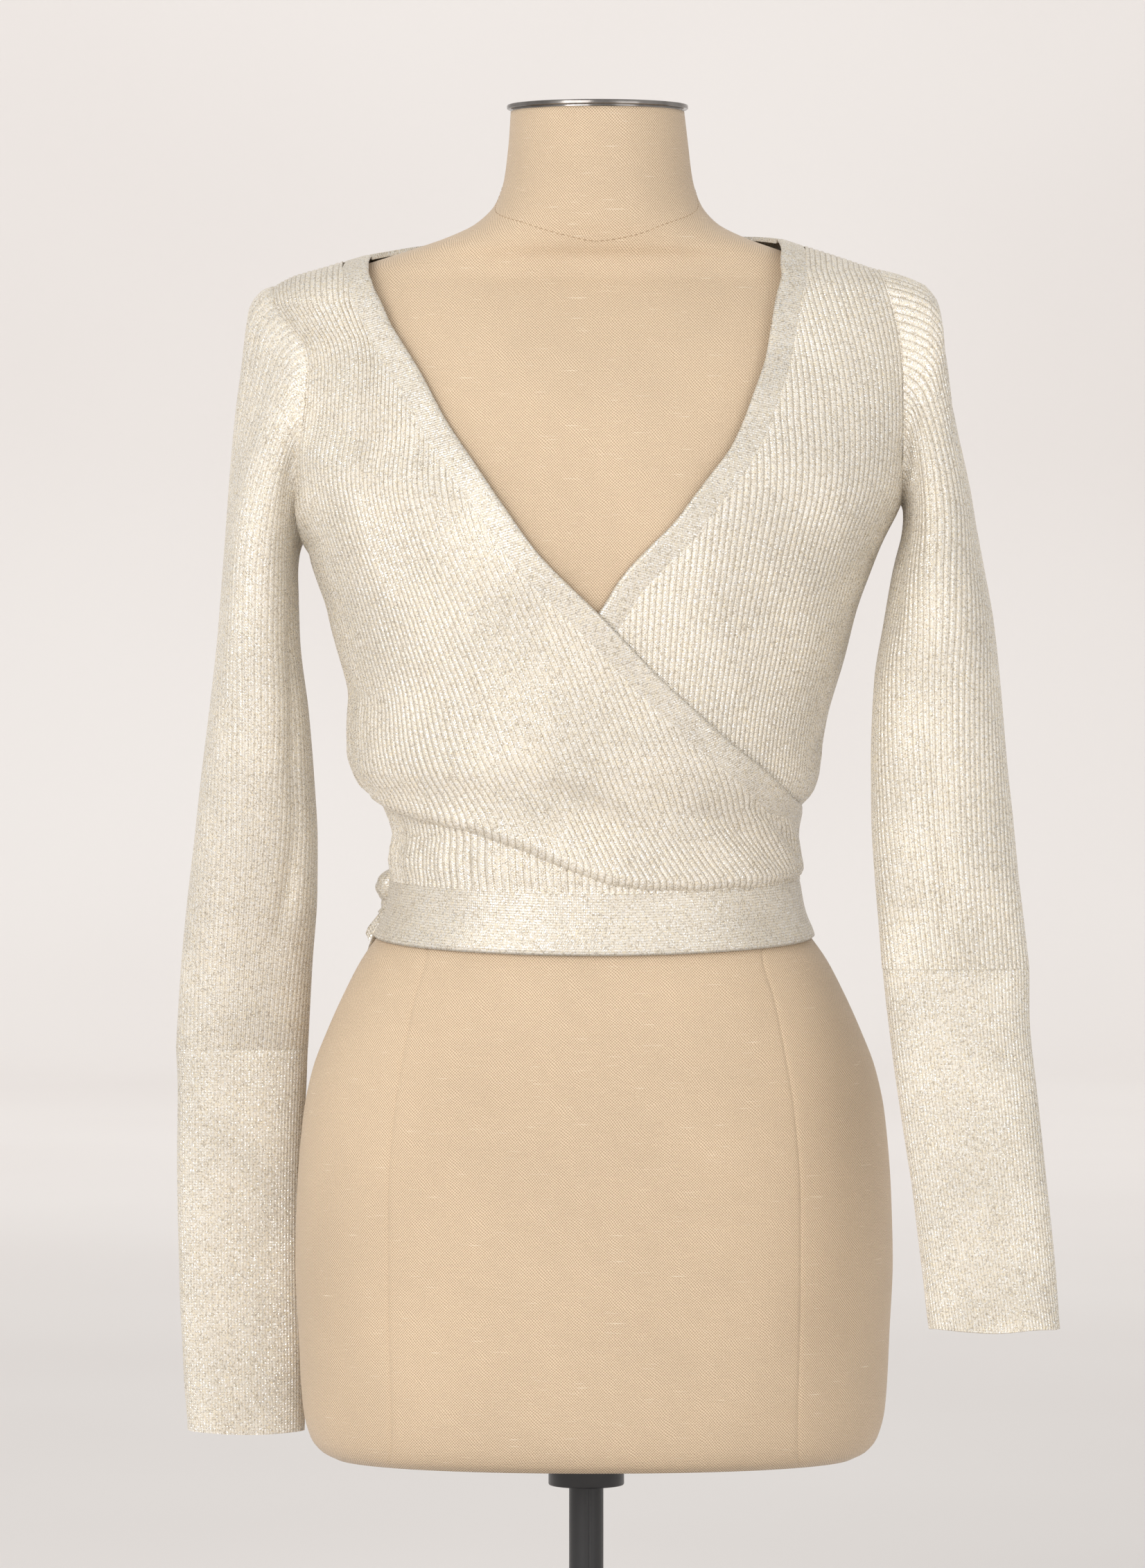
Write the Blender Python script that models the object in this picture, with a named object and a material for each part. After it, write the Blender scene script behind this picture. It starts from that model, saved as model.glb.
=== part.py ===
"""A ribbed wrap top worn on a limbless dress form with a short stand.

The frame is in metres with +Z up, +X to the viewer's right and the front facing -Y. The origin is
on the floor under the form. Tables and sizes are in millimetres, and heights in them are measured
from the form's lower edge. "Right" and "left" in names are the wearer's.
"""
import math
from collections import namedtuple

import bmesh
import bpy
import numpy as np

MM = 0.001

# The stand, in millimetres
STAND_HEIGHT = 200.0
BASE_DIAMETER = 300.0
BASE_THICKNESS = 12.0
BASE_CHAMFER = 2.0
POLE_DIAMETER = 20.0
POLE_X = -4.5
COLLAR_DIAMETER = 44.0
COLLAR_HEIGHT = 16.0
CAP_DIAMETER = 105.0
CAP_THICKNESS = 3.6
NECK_TOP = 781.0
CAP_X = 2.0
CAP_Y = 6.0

# The form's horizontal sections, in millimetres
FormRow = namedtuple("FormRow", "height half_width front back centre_x centre_y")
FORM_ROWS = (
    FormRow(0, 150, 92, 100, 0, 0),
    FormRow(4, 158, 98, 107, 0, 0),
    FormRow(12, 164.5, 102, 112, 0, 0),
    FormRow(30, 169, 105, 116, 0, 0),
    FormRow(77, 171.7, 107.5, 120, 0, 0),
    FormRow(114, 173.4, 108.5, 122, 0, 0),
    FormRow(151, 172.5, 108, 121, 0, 0),
    FormRow(200, 168.6, 106, 116.5, 0, 0),
    FormRow(225, 163.5, 104, 111.5, 0, 0),
    FormRow(250, 154, 101, 104, 0, 0),
    FormRow(275, 142.5, 97, 96, 0, 0),
    FormRow(290, 134.5, 94, 90.5, 0, 0),
    FormRow(298, 129.0, 92.5, 87.5, 0, 0),
    FormRow(304, 124.6, 91.3, 85.3, 0, 0),
    FormRow(322, 114.5, 88.7, 79.7, 0, 0),
    FormRow(345, 108.5, 86.5, 76, 0, 0),
    FormRow(370, 110, 88.5, 76, 0, 0),
    FormRow(400, 118, 94.5, 79, 0, 0),
    FormRow(450, 132, 107, 87, 0, 0),
    FormRow(490, 144, 118, 94, 0, 0),
    FormRow(530, 153, 125, 100, 0, 0),
    FormRow(570, 159, 120, 102, 0, 1),
    FormRow(610, 164, 106, 99, 0, 3),
    FormRow(640, 169, 88, 90, 0, 5),
    FormRow(660, 174, 72.5, 78, 0, 6),
    FormRow(668, 174, 65, 71, 0, 6),
    FormRow(676, 169.5, 57.5, 63.5, 0, 6),
    FormRow(685, 154.5, 50, 57, 0, 6),
    FormRow(694, 127.5, 48.5, 54.5, 0, 6),
    FormRow(701, 106, 52, 56, 0.5, 6),
    FormRow(708, 86, 54, 56, 1, 6),
    FormRow(716, 70, 55.5, 57, 1.5, 6),
    FormRow(728, 59.2, 55, 57.5, 2.3, 6),
    FormRow(741, 54.8, 53.5, 56, 2.5, 6),
    FormRow(759, 52.4, 52, 54, 2.5, 6),
    FormRow(781, 50.3, 50, 52, 2, 6),
)
SECTION_POWER = 2.15

# The inner face of the garment's first layer, in millimetres
ClothRow = namedtuple("ClothRow", "height left right front back")
CLOTH_ROWS = (
    ClothRow(200, 173.0, 173.0, 110.0, 120.5),
    ClothRow(250, 158.5, 158.5, 105.0, 108.5),
    ClothRow(275, 147.0, 147.0, 101.0, 100.5),
    ClothRow(290, 136.5, 136.5, 96.5, 93.0),
    ClothRow(304, 125.8, 125.8, 92.6, 86.6),
    ClothRow(318, 118.0, 119.8, 90.9, 82.6),
    ClothRow(340, 113.8, 115.8, 89.8, 78.5),
    ClothRow(360, 114.0, 113.6, 91.0, 79.0),
    ClothRow(376, 117.5, 116.5, 94.0, 81.0),
    ClothRow(388, 124.5, 126.0, 98.5, 84.0),
    ClothRow(400, 134.0, 129.5, 103.5, 87.0),
    ClothRow(412, 138.5, 130.5, 106.5, 89.0),
    ClothRow(427, 140.5, 132.8, 108.5, 90.0),
    ClothRow(437, 138.5, 135.0, 109.5, 90.5),
    ClothRow(446, 138.7, 138.0, 111.0, 91.0),
    ClothRow(466, 145.0, 144.3, 115.0, 93.0),
    ClothRow(493, 152.4, 150.5, 121.0, 97.0),
    ClothRow(516, 159.6, 159.5, 125.5, 100.5),
    ClothRow(533, 167.0, 165.5, 127.5, 103.0),
    ClothRow(555, 175.0, 178.0, 126.0, 104.5),
    ClothRow(580, 180.0, 184.0, 120.5, 104.5),
    ClothRow(610, 182.0, 187.0, 108.5, 102.0),
    ClothRow(640, 184.0, 188.0, 93.5, 96.0),
    ClothRow(660, 188.0, 189.0, 80.5, 86.0),
    ClothRow(670, 189.0, 189.0, 73.0, 78.5),
    ClothRow(676, 187.0, 187.5, 68.5, 74.0),
    ClothRow(683, 177.0, 178.0, 64.0, 69.0),
    ClothRow(690, 154.5, 158.0, 60.5, 65.0),
    ClothRow(697, 131.0, 137.0, 58.5, 63.0),
    ClothRow(703, 112.0, 118.0, 57.0, 62.0),
    ClothRow(710, 94.0, 98.0, 56.5, 61.0),
    ClothRow(718, 80.0, 82.0, 58.0, 62.0),
)

# Cloth thickness and seams, in millimetres
GROOVE_WALL = 1.2
RIB_RISE = 0.6
BAND_WALL = 1.2
LAYER_STEP = 3.1
BAND_LAYER_STEP = 1.6
SEAM_GAP = 0.3
BAND_SEAM_GAP = 0.9
SHOULDER_SEAM_GAP = 1.0
CORNER_GAP = 1.5

# The free edges of the two fronts, as seen from the front, in millimetres
EdgePoint = namedtuple("EdgePoint", "x height")
RIGHT_FRONT_EDGE = (
    EdgePoint(-129, 697), EdgePoint(-129, 684), EdgePoint(-124, 672), EdgePoint(-115, 653),
    EdgePoint(-99, 627), EdgePoint(-84, 599), EdgePoint(-68, 575), EdgePoint(-53, 553),
    EdgePoint(-31, 523), EdgePoint(3, 489), EdgePoint(36, 454), EdgePoint(54, 437),
    EdgePoint(78, 415), EdgePoint(97, 400), EdgePoint(110, 387), EdgePoint(116.5, 377),
)
LEFT_FRONT_EDGE = (
    EdgePoint(106, 706), EdgePoint(107.5, 698), EdgePoint(107, 688), EdgePoint(105, 675),
    EdgePoint(101, 655), EdgePoint(97, 634), EdgePoint(90, 614), EdgePoint(84, 598),
    EdgePoint(76, 582), EdgePoint(67, 570), EdgePoint(57, 557), EdgePoint(45, 541),
    EdgePoint(31, 527), EdgePoint(16, 511), EdgePoint(3, 491), EdgePoint(-20, 464),
    EdgePoint(-50, 434), EdgePoint(-80, 406), EdgePoint(-100, 387),
)
BACK_NECK = (
    # turn round the body, height
    (1.985, 697.5), (1.90, 704), (1.75, 709), (1.5, 711), (1.25, 711), (1.10, 709.5), (1.015, 707),
)
NECKBAND_WIDTH = 14.5

# The front half of each armhole, in millimetres from the middle
RIGHT_ARMHOLE = (
    EdgePoint(167.0, 533), EdgePoint(168.8, 556), EdgePoint(168.8, 578), EdgePoint(166.5, 600),
    EdgePoint(164.4, 616), EdgePoint(163.6, 630), EdgePoint(164.8, 639), EdgePoint(167.2, 646),
    EdgePoint(172.5, 653), EdgePoint(178, 661), EdgePoint(183, 669), EdgePoint(184.5, 677),
)
LEFT_ARMHOLE = (
    EdgePoint(177.5, 554.5), EdgePoint(177, 575), EdgePoint(177, 593), EdgePoint(177, 612),
    EdgePoint(176.5, 631), EdgePoint(174, 652), EdgePoint(170.5, 668), EdgePoint(167, 680),
    EdgePoint(164, 687.5),
)

# The waistband, in millimetres
BAND_TOP_SIDE = 336.5
BAND_TOP_DROP = 6.0
BAND_BOTTOM_SIDE = 303.5
BAND_BOTTOM_DROP = 8.5
WRAP_TURN = 1.115
BAND_STEPS = 28

# The tie's pieces at the wearer's right side, over the waistband
TieStation = namedtuple("TieStation", "turn height out half_turn half_height")
TIE_LOOP = (
    TieStation(1.969, 331, 5.5, 0.017, 0), TieStation(1.972, 338, 8.0, 0.017, 0),
    TieStation(1.978, 337, 12.5, 0.017, 0), TieStation(1.978, 329, 14.0, 0.017, 0),
    TieStation(1.974, 323.5, 10.5, 0.017, 0), TieStation(1.969, 324, 6.0, 0.017, 0),
)
TIE_END_RIGHT = (
    TieStation(1.940, 310.6, 6.5, 0.014, 0), TieStation(1.943, 301, 6.0, 0.022, 0),
    TieStation(1.900, 282, 4.5, 0.024, 0), TieStation(1.858, 258, 3.5, 0.024, 0),
    TieStation(1.838, 234, 3.0, 0.024, 0),
)
TIE_END_LEFT = (
    TieStation(1.922, 310.6, 8.6, 0.011, 0), TieStation(1.902, 300, 9.0, 0.020, 0),
    TieStation(1.850, 283, 7.5, 0.024, 0), TieStation(1.795, 264, 6.0, 0.024, 0),
    TieStation(1.768, 243, 5.0, 0.024, 0),
)
TIE_LEFT_LIFT = 3.9

# Ribs in the solids: each stands for two or three of the knit's
FRONT_RIBS = 36
LEFT_FRONT_RIBS = 34
BACK_RIBS = 38
SLEEVE_RIBS = 18
CUFF_RIBS = 20
TUBE_INNER_STEP = 4

# Heights where a panel has a row of points, in millimetres
FRONT_LEVELS = (350, 362, 373, 382, 390, 400, 412, 428, 446, 475, 508, 540, 570, 600, 625, 645,
                660, 673, 683, 690, 697)
BACK_LEVELS = (356, 373, 386, 399, 415, 440, 475, 510, 545, 580, 610, 635, 655, 672, 683, 691, 699)
LEVEL_MARGIN = 2.0
FORM_LEVELS = (0, 4, 12, 30, 60, 95, 130, 170, 205, 232, 254, 275, 290, 299, 308, 322, 345, 370, 400,
               440, 485, 530, 570, 610, 640, 658, 668, 676, 684, 692, 699, 706, 715, 727, 745, 781)
FORM_SIDES = 40

# The sleeves' horizontal sections below the armhole, in millimetres from the middle
SleeveRow = namedtuple("SleeveRow", "height outer inner front back")
RIGHT_SLEEVE = (
    SleeveRow(508, 214.4, 173.0, -54, 58),
    SleeveRow(475, 217.2, 172.0, -49, 57),
    SleeveRow(432, 222.3, 167.0, -40, 55),
    SleeveRow(394, 227.2, 164.0, -30, 53),
    SleeveRow(358, 231.4, 162.2, -19, 52),
    SleeveRow(326, 235.4, 162.6, -8, 52),
    SleeveRow(287, 239.6, 165.6, 6, 53),
    SleeveRow(236, 243.2, 168.5, 18, 53),
)
RIGHT_CUFF = (
    SleeveRow(235.4, 243.2, 168.5, 18, 53),
    SleeveRow(201, 242.0, 170.3, 22, 54),
    SleeveRow(149, 242.0, 171.0, 24, 55),
    SleeveRow(95, 242.0, 171.0, 25, 55),
    SleeveRow(51, 240.0, 171.2, 25, 55),
    SleeveRow(11, 237.6, 172.0, 26, 56),
)
LEFT_SLEEVE = (
    SleeveRow(530, 221.6, 178.6, -58, 52),
    SleeveRow(517, 223.8, 175.0, -62, 46),
    SleeveRow(484, 229.0, 168.5, -70, 26),
    SleeveRow(450, 232.0, 162.5, -76, 4),
    SleeveRow(404, 235.0, 160.0, -88, -22),
    SleeveRow(372, 237.8, 159.8, -95, -39),
    SleeveRow(340, 240.2, 161.2, -104, -56),
    SleeveRow(314, 242.8, 163.0, -110, -70),
    SleeveRow(288, 245.2, 164.6, -118, -84),
)
LEFT_CUFF = (
    SleeveRow(287.4, 245.2, 164.6, -118, -84),
    SleeveRow(255, 245.8, 168.6, -130, -98),
    SleeveRow(223, 248.0, 172.3, -142, -112),
    SleeveRow(182, 250.6, 177.0, -158, -130),
    SleeveRow(130, 255.4, 183.6, -178, -152),
    SleeveRow(90, 259.6, 189.3, -194, -169),
)
SLEEVE_POWER = 2.3
SLEEVE_ROWS_BELOW = 7
CUFF_ROWS = 4
ARMHOLE_GAP = 0.9
HEAD_START = 0.45
HEAD_END = 1.15
RIGHT_HEAD_STEPS = (0, 1 / 6, 1 / 3, 1 / 2, 2 / 3, 5 / 6)
LEFT_HEAD_STEPS = (0, 0.08, 0.20, 0.36, 0.56, 0.78)

# How far each sleeve's head stands out past its plain curve at the shoulder, by height
RIGHT_HEAD_PUFF = ((0, 628, 639, 651, 660, 666, 671, 677, 679.5), (0, 0, 0.6, 2.0, 3.4, 4.8, 5.2, 4.0, 0))
LEFT_HEAD_PUFF = ((0, 541, 561, 597, 617, 627, 639, 651, 660, 666, 671, 679, 683, 686, 688.5),
                  (0, 0, 1.0, 1.4, 2.6, 4.8, 7.6, 10.4, 14, 16.6, 18, 17, 12, 6, 0))


def smooth(places, values, at):
    """A curve through the values that has no bump which the values don't have."""
    places = np.asarray(places, float)
    values = np.asarray(values, float)
    steps = np.diff(places)
    slopes = np.diff(values) / steps
    tangents = np.zeros_like(values)
    before, after = slopes[:-1], slopes[1:]
    same_way = before * after > 0
    weight_a = 2 * steps[1:] + steps[:-1]
    weight_b = steps[1:] + 2 * steps[:-1]
    safe_before = np.where(same_way, before, 1)
    safe_after = np.where(same_way, after, 1)
    inner = (weight_a + weight_b) / (weight_a / safe_before + weight_b / safe_after)
    tangents[1:-1] = np.where(same_way, inner, 0)
    tangents[0], tangents[-1] = slopes[0], slopes[-1]
    at = np.clip(np.asarray(at, float), places[0], places[-1])
    index = np.clip(np.searchsorted(places, at, side="right") - 1, 0, len(steps) - 1)
    step = steps[index]
    t = (at - places[index]) / step
    return (values[index] * (1 + 2 * t) * (1 - t) ** 2
            + tangents[index] * step * t * (1 - t) ** 2
            + values[index + 1] * t * t * (3 - 2 * t)
            + tangents[index + 1] * step * t * t * (t - 1))


def column(rows, name):
    """One named column of a table."""
    return np.array([getattr(row, name) for row in rows], float)


def form_size(height):
    """The form's section at a height: half width, front, back, centre x and centre y."""
    heights = column(FORM_ROWS, "height")
    names = ("half_width", "front", "back", "centre_x", "centre_y")
    return [smooth(heights, column(FORM_ROWS, name), height) for name in names]


def cloth_size(height):
    """The garment's section at a height: left, right, front and back reach and centre y."""
    heights = column(CLOTH_ROWS, "height")
    reach = [smooth(heights, column(CLOTH_ROWS, name), height) for name in ClothRow._fields[1:]]
    return reach + [form_size(height)[4]]


def ring_point(left, right, front, back, centre_y, turn, power=SECTION_POWER):
    """A point on a section. Turn 0 is the viewer's left side, 0.5 the front and 1 the right."""
    angle = math.pi * (1 + np.asarray(turn, float))
    across, along = np.cos(angle), np.sin(angle)
    wide = np.where(across < 0, left, right)
    deep = np.where(along < 0, front, back)
    way_x = np.sqrt(wide) * across
    way_y = np.sqrt(deep) * along
    reach = (np.abs(way_x / wide) ** power + np.abs(way_y / deep) ** power) ** (-1 / power)
    return reach * way_x, reach * way_y + centre_y


def turn_at(x, height, front=True):
    """Where on the garment's section a point seen at x lies, on its front or its back half."""
    left, right, forward, backward, _ = cloth_size(height)
    x = np.asarray(x, float)
    wide = np.where(x < 0, left, right)
    deep = forward if front else backward
    share = np.clip(np.abs(x) / wide, 0, 1)
    y = deep * (1 - share ** SECTION_POWER) ** (1 / SECTION_POWER)
    angle = np.arctan2(y / np.sqrt(deep), x / np.sqrt(wide))
    return 1 - angle / math.pi if front else 1 + angle / math.pi


def bulge(turn, height):
    """How far the top front stands out over its slanting crease, in millimetres."""
    across = np.clip(turn, 0, 1.2)
    crease = 386 - 66 * across ** 0.9
    above = (height - crease) / 22.0
    strength = 5.0 * np.exp(-((across - 0.12) / 0.34) ** 2)
    hump = np.where(above > 0, above * np.exp(1 - above), 0)
    return strength * np.clip(hump, 0, 1) * np.clip(across / 0.06, 0, 1)


def cloth_base(turn, height, puff=0.0):
    """The inner face of the garment's first layer, puffed out where the top front bulges."""
    left, right, front, back, centre_y = cloth_size(height)
    x, y = ring_point(left, right, front, back, centre_y, turn)
    point = np.stack(np.broadcast_arrays(x, y, height), axis=-1).astype(float)
    if np.any(puff):
        flat = point[..., :2] - np.stack([0 * x, 0 * x + centre_y], axis=-1)
        way = flat / np.linalg.norm(flat, axis=-1, keepdims=True)
        point[..., :2] += way * (puff * bulge(turn, height))[..., None]
    return point


def cloth_point(turn, height, lift=0.0, puff=0.0):
    """A point at a distance outside the garment's first layer, and the way out there."""
    turn, height = np.broadcast_arrays(np.asarray(turn, float), np.asarray(height, float))
    small_turn, small_height = 0.002, 0.5
    point = cloth_base(turn, height, puff)
    by_turn = (cloth_base(turn + small_turn, height, puff)
               - cloth_base(turn - small_turn, height, puff))
    by_height = (cloth_base(turn, height + small_height, puff)
                 - cloth_base(turn, height - small_height, puff))
    out = np.cross(by_turn, by_height)
    out /= np.linalg.norm(out, axis=-1, keepdims=True)
    return point + out * np.asarray(lift)[..., None], out


def resample(points, count_or_fractions, trim_end=0.0):
    """Points at fractions of a path's length."""
    lengths = np.concatenate([[0], np.cumsum(np.linalg.norm(np.diff(points[:, :3], axis=0), axis=1))])
    if np.isscalar(count_or_fractions):
        fractions = np.linspace(0, 1, int(count_or_fractions))
    else:
        fractions = np.asarray(count_or_fractions, float)
    wanted = fractions * (lengths[-1] - trim_end)
    return np.stack([np.interp(wanted, lengths, points[:, i]) for i in range(points.shape[1])], axis=1)


def band_top(turn):
    """Height of the waistband's top edge."""
    return BAND_TOP_SIDE - BAND_TOP_DROP * np.clip(np.sin(math.pi * np.asarray(turn)), 0, 1) ** 1.5


def band_bottom(turn):
    """Height of the waistband's lower edge."""
    return BAND_BOTTOM_SIDE - BAND_BOTTOM_DROP * np.clip(np.sin(math.pi * np.asarray(turn)), 0, 1)


def ease(share):
    """A soft step from 0 to 1."""
    share = np.clip(share, 0, 1)
    return share * share * (3 - 2 * share)


def top_front_lift(turn, height):
    """The top front lies one layer out, but for its shoulder and the strip beside its side seam."""
    return LAYER_STEP * ease((turn - 0.012) / 0.05) * ease((600 - height) / 50)


def no_lift(turn, height):
    """The first layer."""
    return 0 * turn + 0 * height


def front_lift(wearer_right):
    """How far out a front lies."""
    return top_front_lift if wearer_right else no_lift


def edge_route(wearer_right):
    """The free edge of a front as turns and heights, down to the waistband."""
    rows = RIGHT_FRONT_EDGE if wearer_right else LEFT_FRONT_EDGE
    heights = column(rows, "height")
    turns = turn_at(column(rows, "x"), heights)
    if wearer_right:
        turns = np.concatenate([turns, [1.03, WRAP_TURN]])
        heights = np.concatenate([heights, [364, BAND_TOP_SIDE + 2.5]])
    else:
        turns = np.concatenate([turns, [0.115, 0.085]])
        heights = np.concatenate([heights, [364, BAND_TOP_SIDE + 2.5]])
    path = np.stack([turns, heights], axis=1)
    fine = np.linspace(0, 1, 240)
    points, _ = cloth_point(turns, heights)
    lengths = np.concatenate([[0], np.cumsum(np.linalg.norm(np.diff(points, axis=0), axis=1))])
    at = fine * lengths[-1]
    return np.stack([smooth(lengths, path[:, 0], at), smooth(lengths, path[:, 1], at)], axis=1)


def beside(route, distance):
    """A route moved sideways over the cloth, to the left of its own direction."""
    turns, heights = route[:, 0], route[:, 1]
    points, out = cloth_point(turns, heights)
    along = np.gradient(points, axis=0)
    along /= np.linalg.norm(along, axis=1, keepdims=True)
    side = np.cross(out, along)
    small_turn, small_height = 0.002, 0.5
    by_turn = (cloth_base(turns + small_turn, heights)
               - cloth_base(turns - small_turn, heights)) / (2 * small_turn)
    by_height = (cloth_base(turns, heights + small_height)
                 - cloth_base(turns, heights - small_height)) / (2 * small_height)
    aa = np.sum(by_turn * by_turn, axis=1)
    ab = np.sum(by_turn * by_height, axis=1)
    bb = np.sum(by_height * by_height, axis=1)
    ra = np.sum(by_turn * side, axis=1) * distance
    rb = np.sum(by_height * side, axis=1) * distance
    det = aa * bb - ab * ab
    moved = np.stack([turns + (ra * bb - rb * ab) / det, heights + (rb * aa - ra * ab) / det], axis=1)
    return moved


def back_neck_route():
    """The back neckband's top edge, as turns and heights from the viewer's left to the right."""
    neck = np.array(BACK_NECK)
    order = np.argsort(neck[:, 0])
    ends = neck[0, 0], neck[-1, 0]
    points, _ = cloth_point(neck[:, 0], neck[:, 1])
    lengths = np.concatenate([[0], np.cumsum(np.linalg.norm(np.diff(points, axis=0), axis=1))])
    turns = smooth(lengths, neck[:, 0], np.linspace(0, lengths[-1], 160))
    turns = np.clip(turns, ends[1], ends[0])
    return np.stack([turns, smooth(neck[order, 0], neck[order, 1], turns)], axis=1)


def armhole_x(wearer_right, height):
    """Distance of an armhole's edge from the middle at a height, on the front."""
    rows = RIGHT_ARMHOLE if wearer_right else LEFT_ARMHOLE
    return smooth(column(rows, "height"), column(rows, "x"), height)


def armhole_span(wearer_right):
    """Lowest and highest height of an armhole."""
    rows = RIGHT_ARMHOLE if wearer_right else LEFT_ARMHOLE
    return rows[0].height, rows[-1].height


def armhole_turn(wearer_right, height, back=False):
    """How far round from the side line the armhole's edge lies, as part of a turn."""
    low, high = armhole_span(wearer_right)
    side = -1 if wearer_right else 1
    turn = turn_at(side * armhole_x(wearer_right, height), height, front=not back)
    if back:
        inset = 2 - turn if wearer_right else turn - 1
    else:
        inset = turn if wearer_right else 1 - turn
    fade = np.clip((height - low) / 6.0, 0, 1)
    return np.where((height > low) & (height < high), inset * fade, 0)


# How the ribs spread: turns and millimetres from the armhole over which its curve dies away
FADE_WIDTH = 0.48
FAN_WIDTH = 80.0
MIX_HEIGHT = 600.0
RIDGE_GAP_TURN = 0.0012


def rib_path(base, wearer_right, back, lean):
    """Turns and heights along one rib, from the waistband up to where it meets the shoulder's ridge.

    base is the rib's turn from the side seam, and lean(height) moves its lower end sideways.
    """
    foot = base + float(lean(np.array([BAND_TOP_SIDE]))[0])
    start = float(band_top(0 if back else foot)) + SEAM_GAP
    heights = np.concatenate([[start], np.arange(math.ceil(start + 0.5), 720.0, 1.0)])
    near = np.clip(1 - base / FADE_WIDTH, 0, 1)
    inset = armhole_turn(wearer_right, np.minimum(heights, MIX_HEIGHT), back)
    turns = base + inset * near + lean(heights)
    left, right, front, rear, centre_y = cloth_size(MIX_HEIGHT)
    mix_turn = base + float(armhole_turn(wearer_right, MIX_HEIGHT, back)) * near
    mix_turn = mix_turn if wearer_right else 1 - mix_turn
    mix_x = float(ring_point(left, right, front, rear, centre_y, -mix_turn if back else mix_turn)[0])
    side = -1 if wearer_right else 1
    edge_here = armhole_x(wearer_right, np.maximum(heights, MIX_HEIGHT))
    edge_mix = float(armhole_x(wearer_right, MIX_HEIGHT))
    fan = np.clip(1 - (edge_mix - abs(mix_x)) / FAN_WIDTH, 0, 1)
    above_x = mix_x + side * (edge_here - edge_mix) * fan
    above = heights > MIX_HEIGHT
    upper = turn_at(above_x, np.maximum(heights, MIX_HEIGHT))
    upper = upper if wearer_right else 1 - upper
    if back:
        upper = 2 - turn_at(above_x, np.maximum(heights, MIX_HEIGHT), front=False)
        upper = upper if wearer_right else 1 - upper
    turns = np.where(above, upper, turns)
    left, right = cloth_size(heights)[:2]
    reach = left if wearer_right else right
    off_body = np.nonzero(above & (np.abs(above_x) > reach))[0]
    if len(off_body):
        last = int(off_body[0])
        over = np.abs(above_x[last - 1:last + 1]) - reach[last - 1:last + 1]
        ridge = heights[last - 1] - over[0] / (over[1] - over[0])
        heights = np.append(heights[:last], ridge)
        turns = np.append(turns[:last], 0.0)
    turns = np.clip(turns, RIDGE_GAP_TURN, None)
    turns = turns if wearer_right else 1 - turns
    return (2 - turns if back else turns), heights


def cut_at(turns, heights, limit):
    """Ends a rib's path where limit(turn, height) turns negative."""
    room = limit(turns, heights)
    outside = np.nonzero(room < 0)[0]
    if len(outside) == 0:
        return turns, heights
    last = max(int(outside[0]), 1)
    share = room[last - 1] / (room[last - 1] - room[last])
    end_turn = turns[last - 1] + (turns[last] - turns[last - 1]) * share
    end_height = heights[last - 1] + (heights[last] - heights[last - 1]) * share
    return np.append(turns[:last], end_turn), np.append(heights[:last], end_height)


def rib_grid(paths, lift, puff, levels):
    """Points and ways out for ribs side by side, with a row at each level, and each rib's last row."""
    points, ways, tops = [], [], []
    for turns, heights in paths:
        top = heights[-1]
        used = [level for level in levels if heights[0] + LEVEL_MARGIN < level < top - LEVEL_MARGIN]
        first = next(i for i, level in enumerate(levels) if level > heights[0] + LEVEL_MARGIN)
        at = [heights[0]] * (first + 1) + used + [top] * (len(levels) - first - len(used) + 1)
        at = np.array(at)
        turn = np.interp(at, heights, turns)
        point, way = cloth_point(turn, at, lift(turn, at), puff)
        points.append(point)
        ways.append(way)
        tops.append(first + len(used) + 1)
    return np.array(points).transpose(1, 0, 2), np.array(ways).transpose(1, 0, 2), tops


def neck_line(wearer_right):
    """The seam between a front and its neckband, as turns and heights."""
    return beside(edge_route(wearer_right), -NECKBAND_WIDTH if wearer_right else NECKBAND_WIDTH)


def front_paths(wearer_right, count):
    """The ribs of one front, from its side seam round to its free edge."""
    seam = neck_line(wearer_right)
    order = np.argsort(seam[:, 1])
    seam_heights, seam_turns = seam[order, 1], seam[order, 0]
    top = float(seam_heights[-1])
    last_base = float(np.interp(BAND_TOP_SIDE + 5.0, seam_heights, seam_turns))
    last_base = last_base if wearer_right else 1 - last_base

    def limit(turns, heights):
        edge = np.interp(heights, seam_heights, seam_turns)
        room = edge - turns if wearer_right else turns - edge
        return np.where(heights > top, 1.0, room)

    paths = []
    for base_share in np.linspace(0, 1, count):
        base = last_base * base_share

        def lean(heights, base=base):
            if not wearer_right:
                return 0 * heights
            reach = 0.17 * np.sin(math.pi * np.clip(base / last_base, 0, 1)) ** 1.5
            end = 620 - 250 * np.clip(base, 0, 1)
            share = np.clip((end - heights) / (end - BAND_TOP_SIDE), 0, 1)
            return reach * share ** 1.6

        turns, heights = rib_path(base, wearer_right, False, lean)
        paths.append(cut_at(turns, heights, limit))
    return paths


def back_paths(count):
    """The ribs of the back, from the viewer's right side seam round to the left one."""
    seam = beside(back_neck_route(), NECKBAND_WIDTH)
    order = np.argsort(seam[:, 0])
    neck_turns, neck_heights = seam[order, 0], seam[order, 1]
    paths = []
    for share in np.linspace(0, 1, count):
        wearer_right = share > 0.5
        base = 1 - share if wearer_right else share
        turns, heights = rib_path(base, wearer_right, True, lambda h: 0 * h)

        def limit(at, height):
            beyond = (at < neck_turns[0] + 0.01) | (at > neck_turns[-1] - 0.01)
            return np.interp(at, neck_turns, neck_heights) - CORNER_GAP * beyond - height

        paths.append(cut_at(turns, heights, limit))
    return paths


def rib_rise(count):
    """The raised height of each column of points: a groove, then a ridge."""
    return np.where(np.arange(count) % 2 == 1, RIB_RISE, 0.0)


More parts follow.
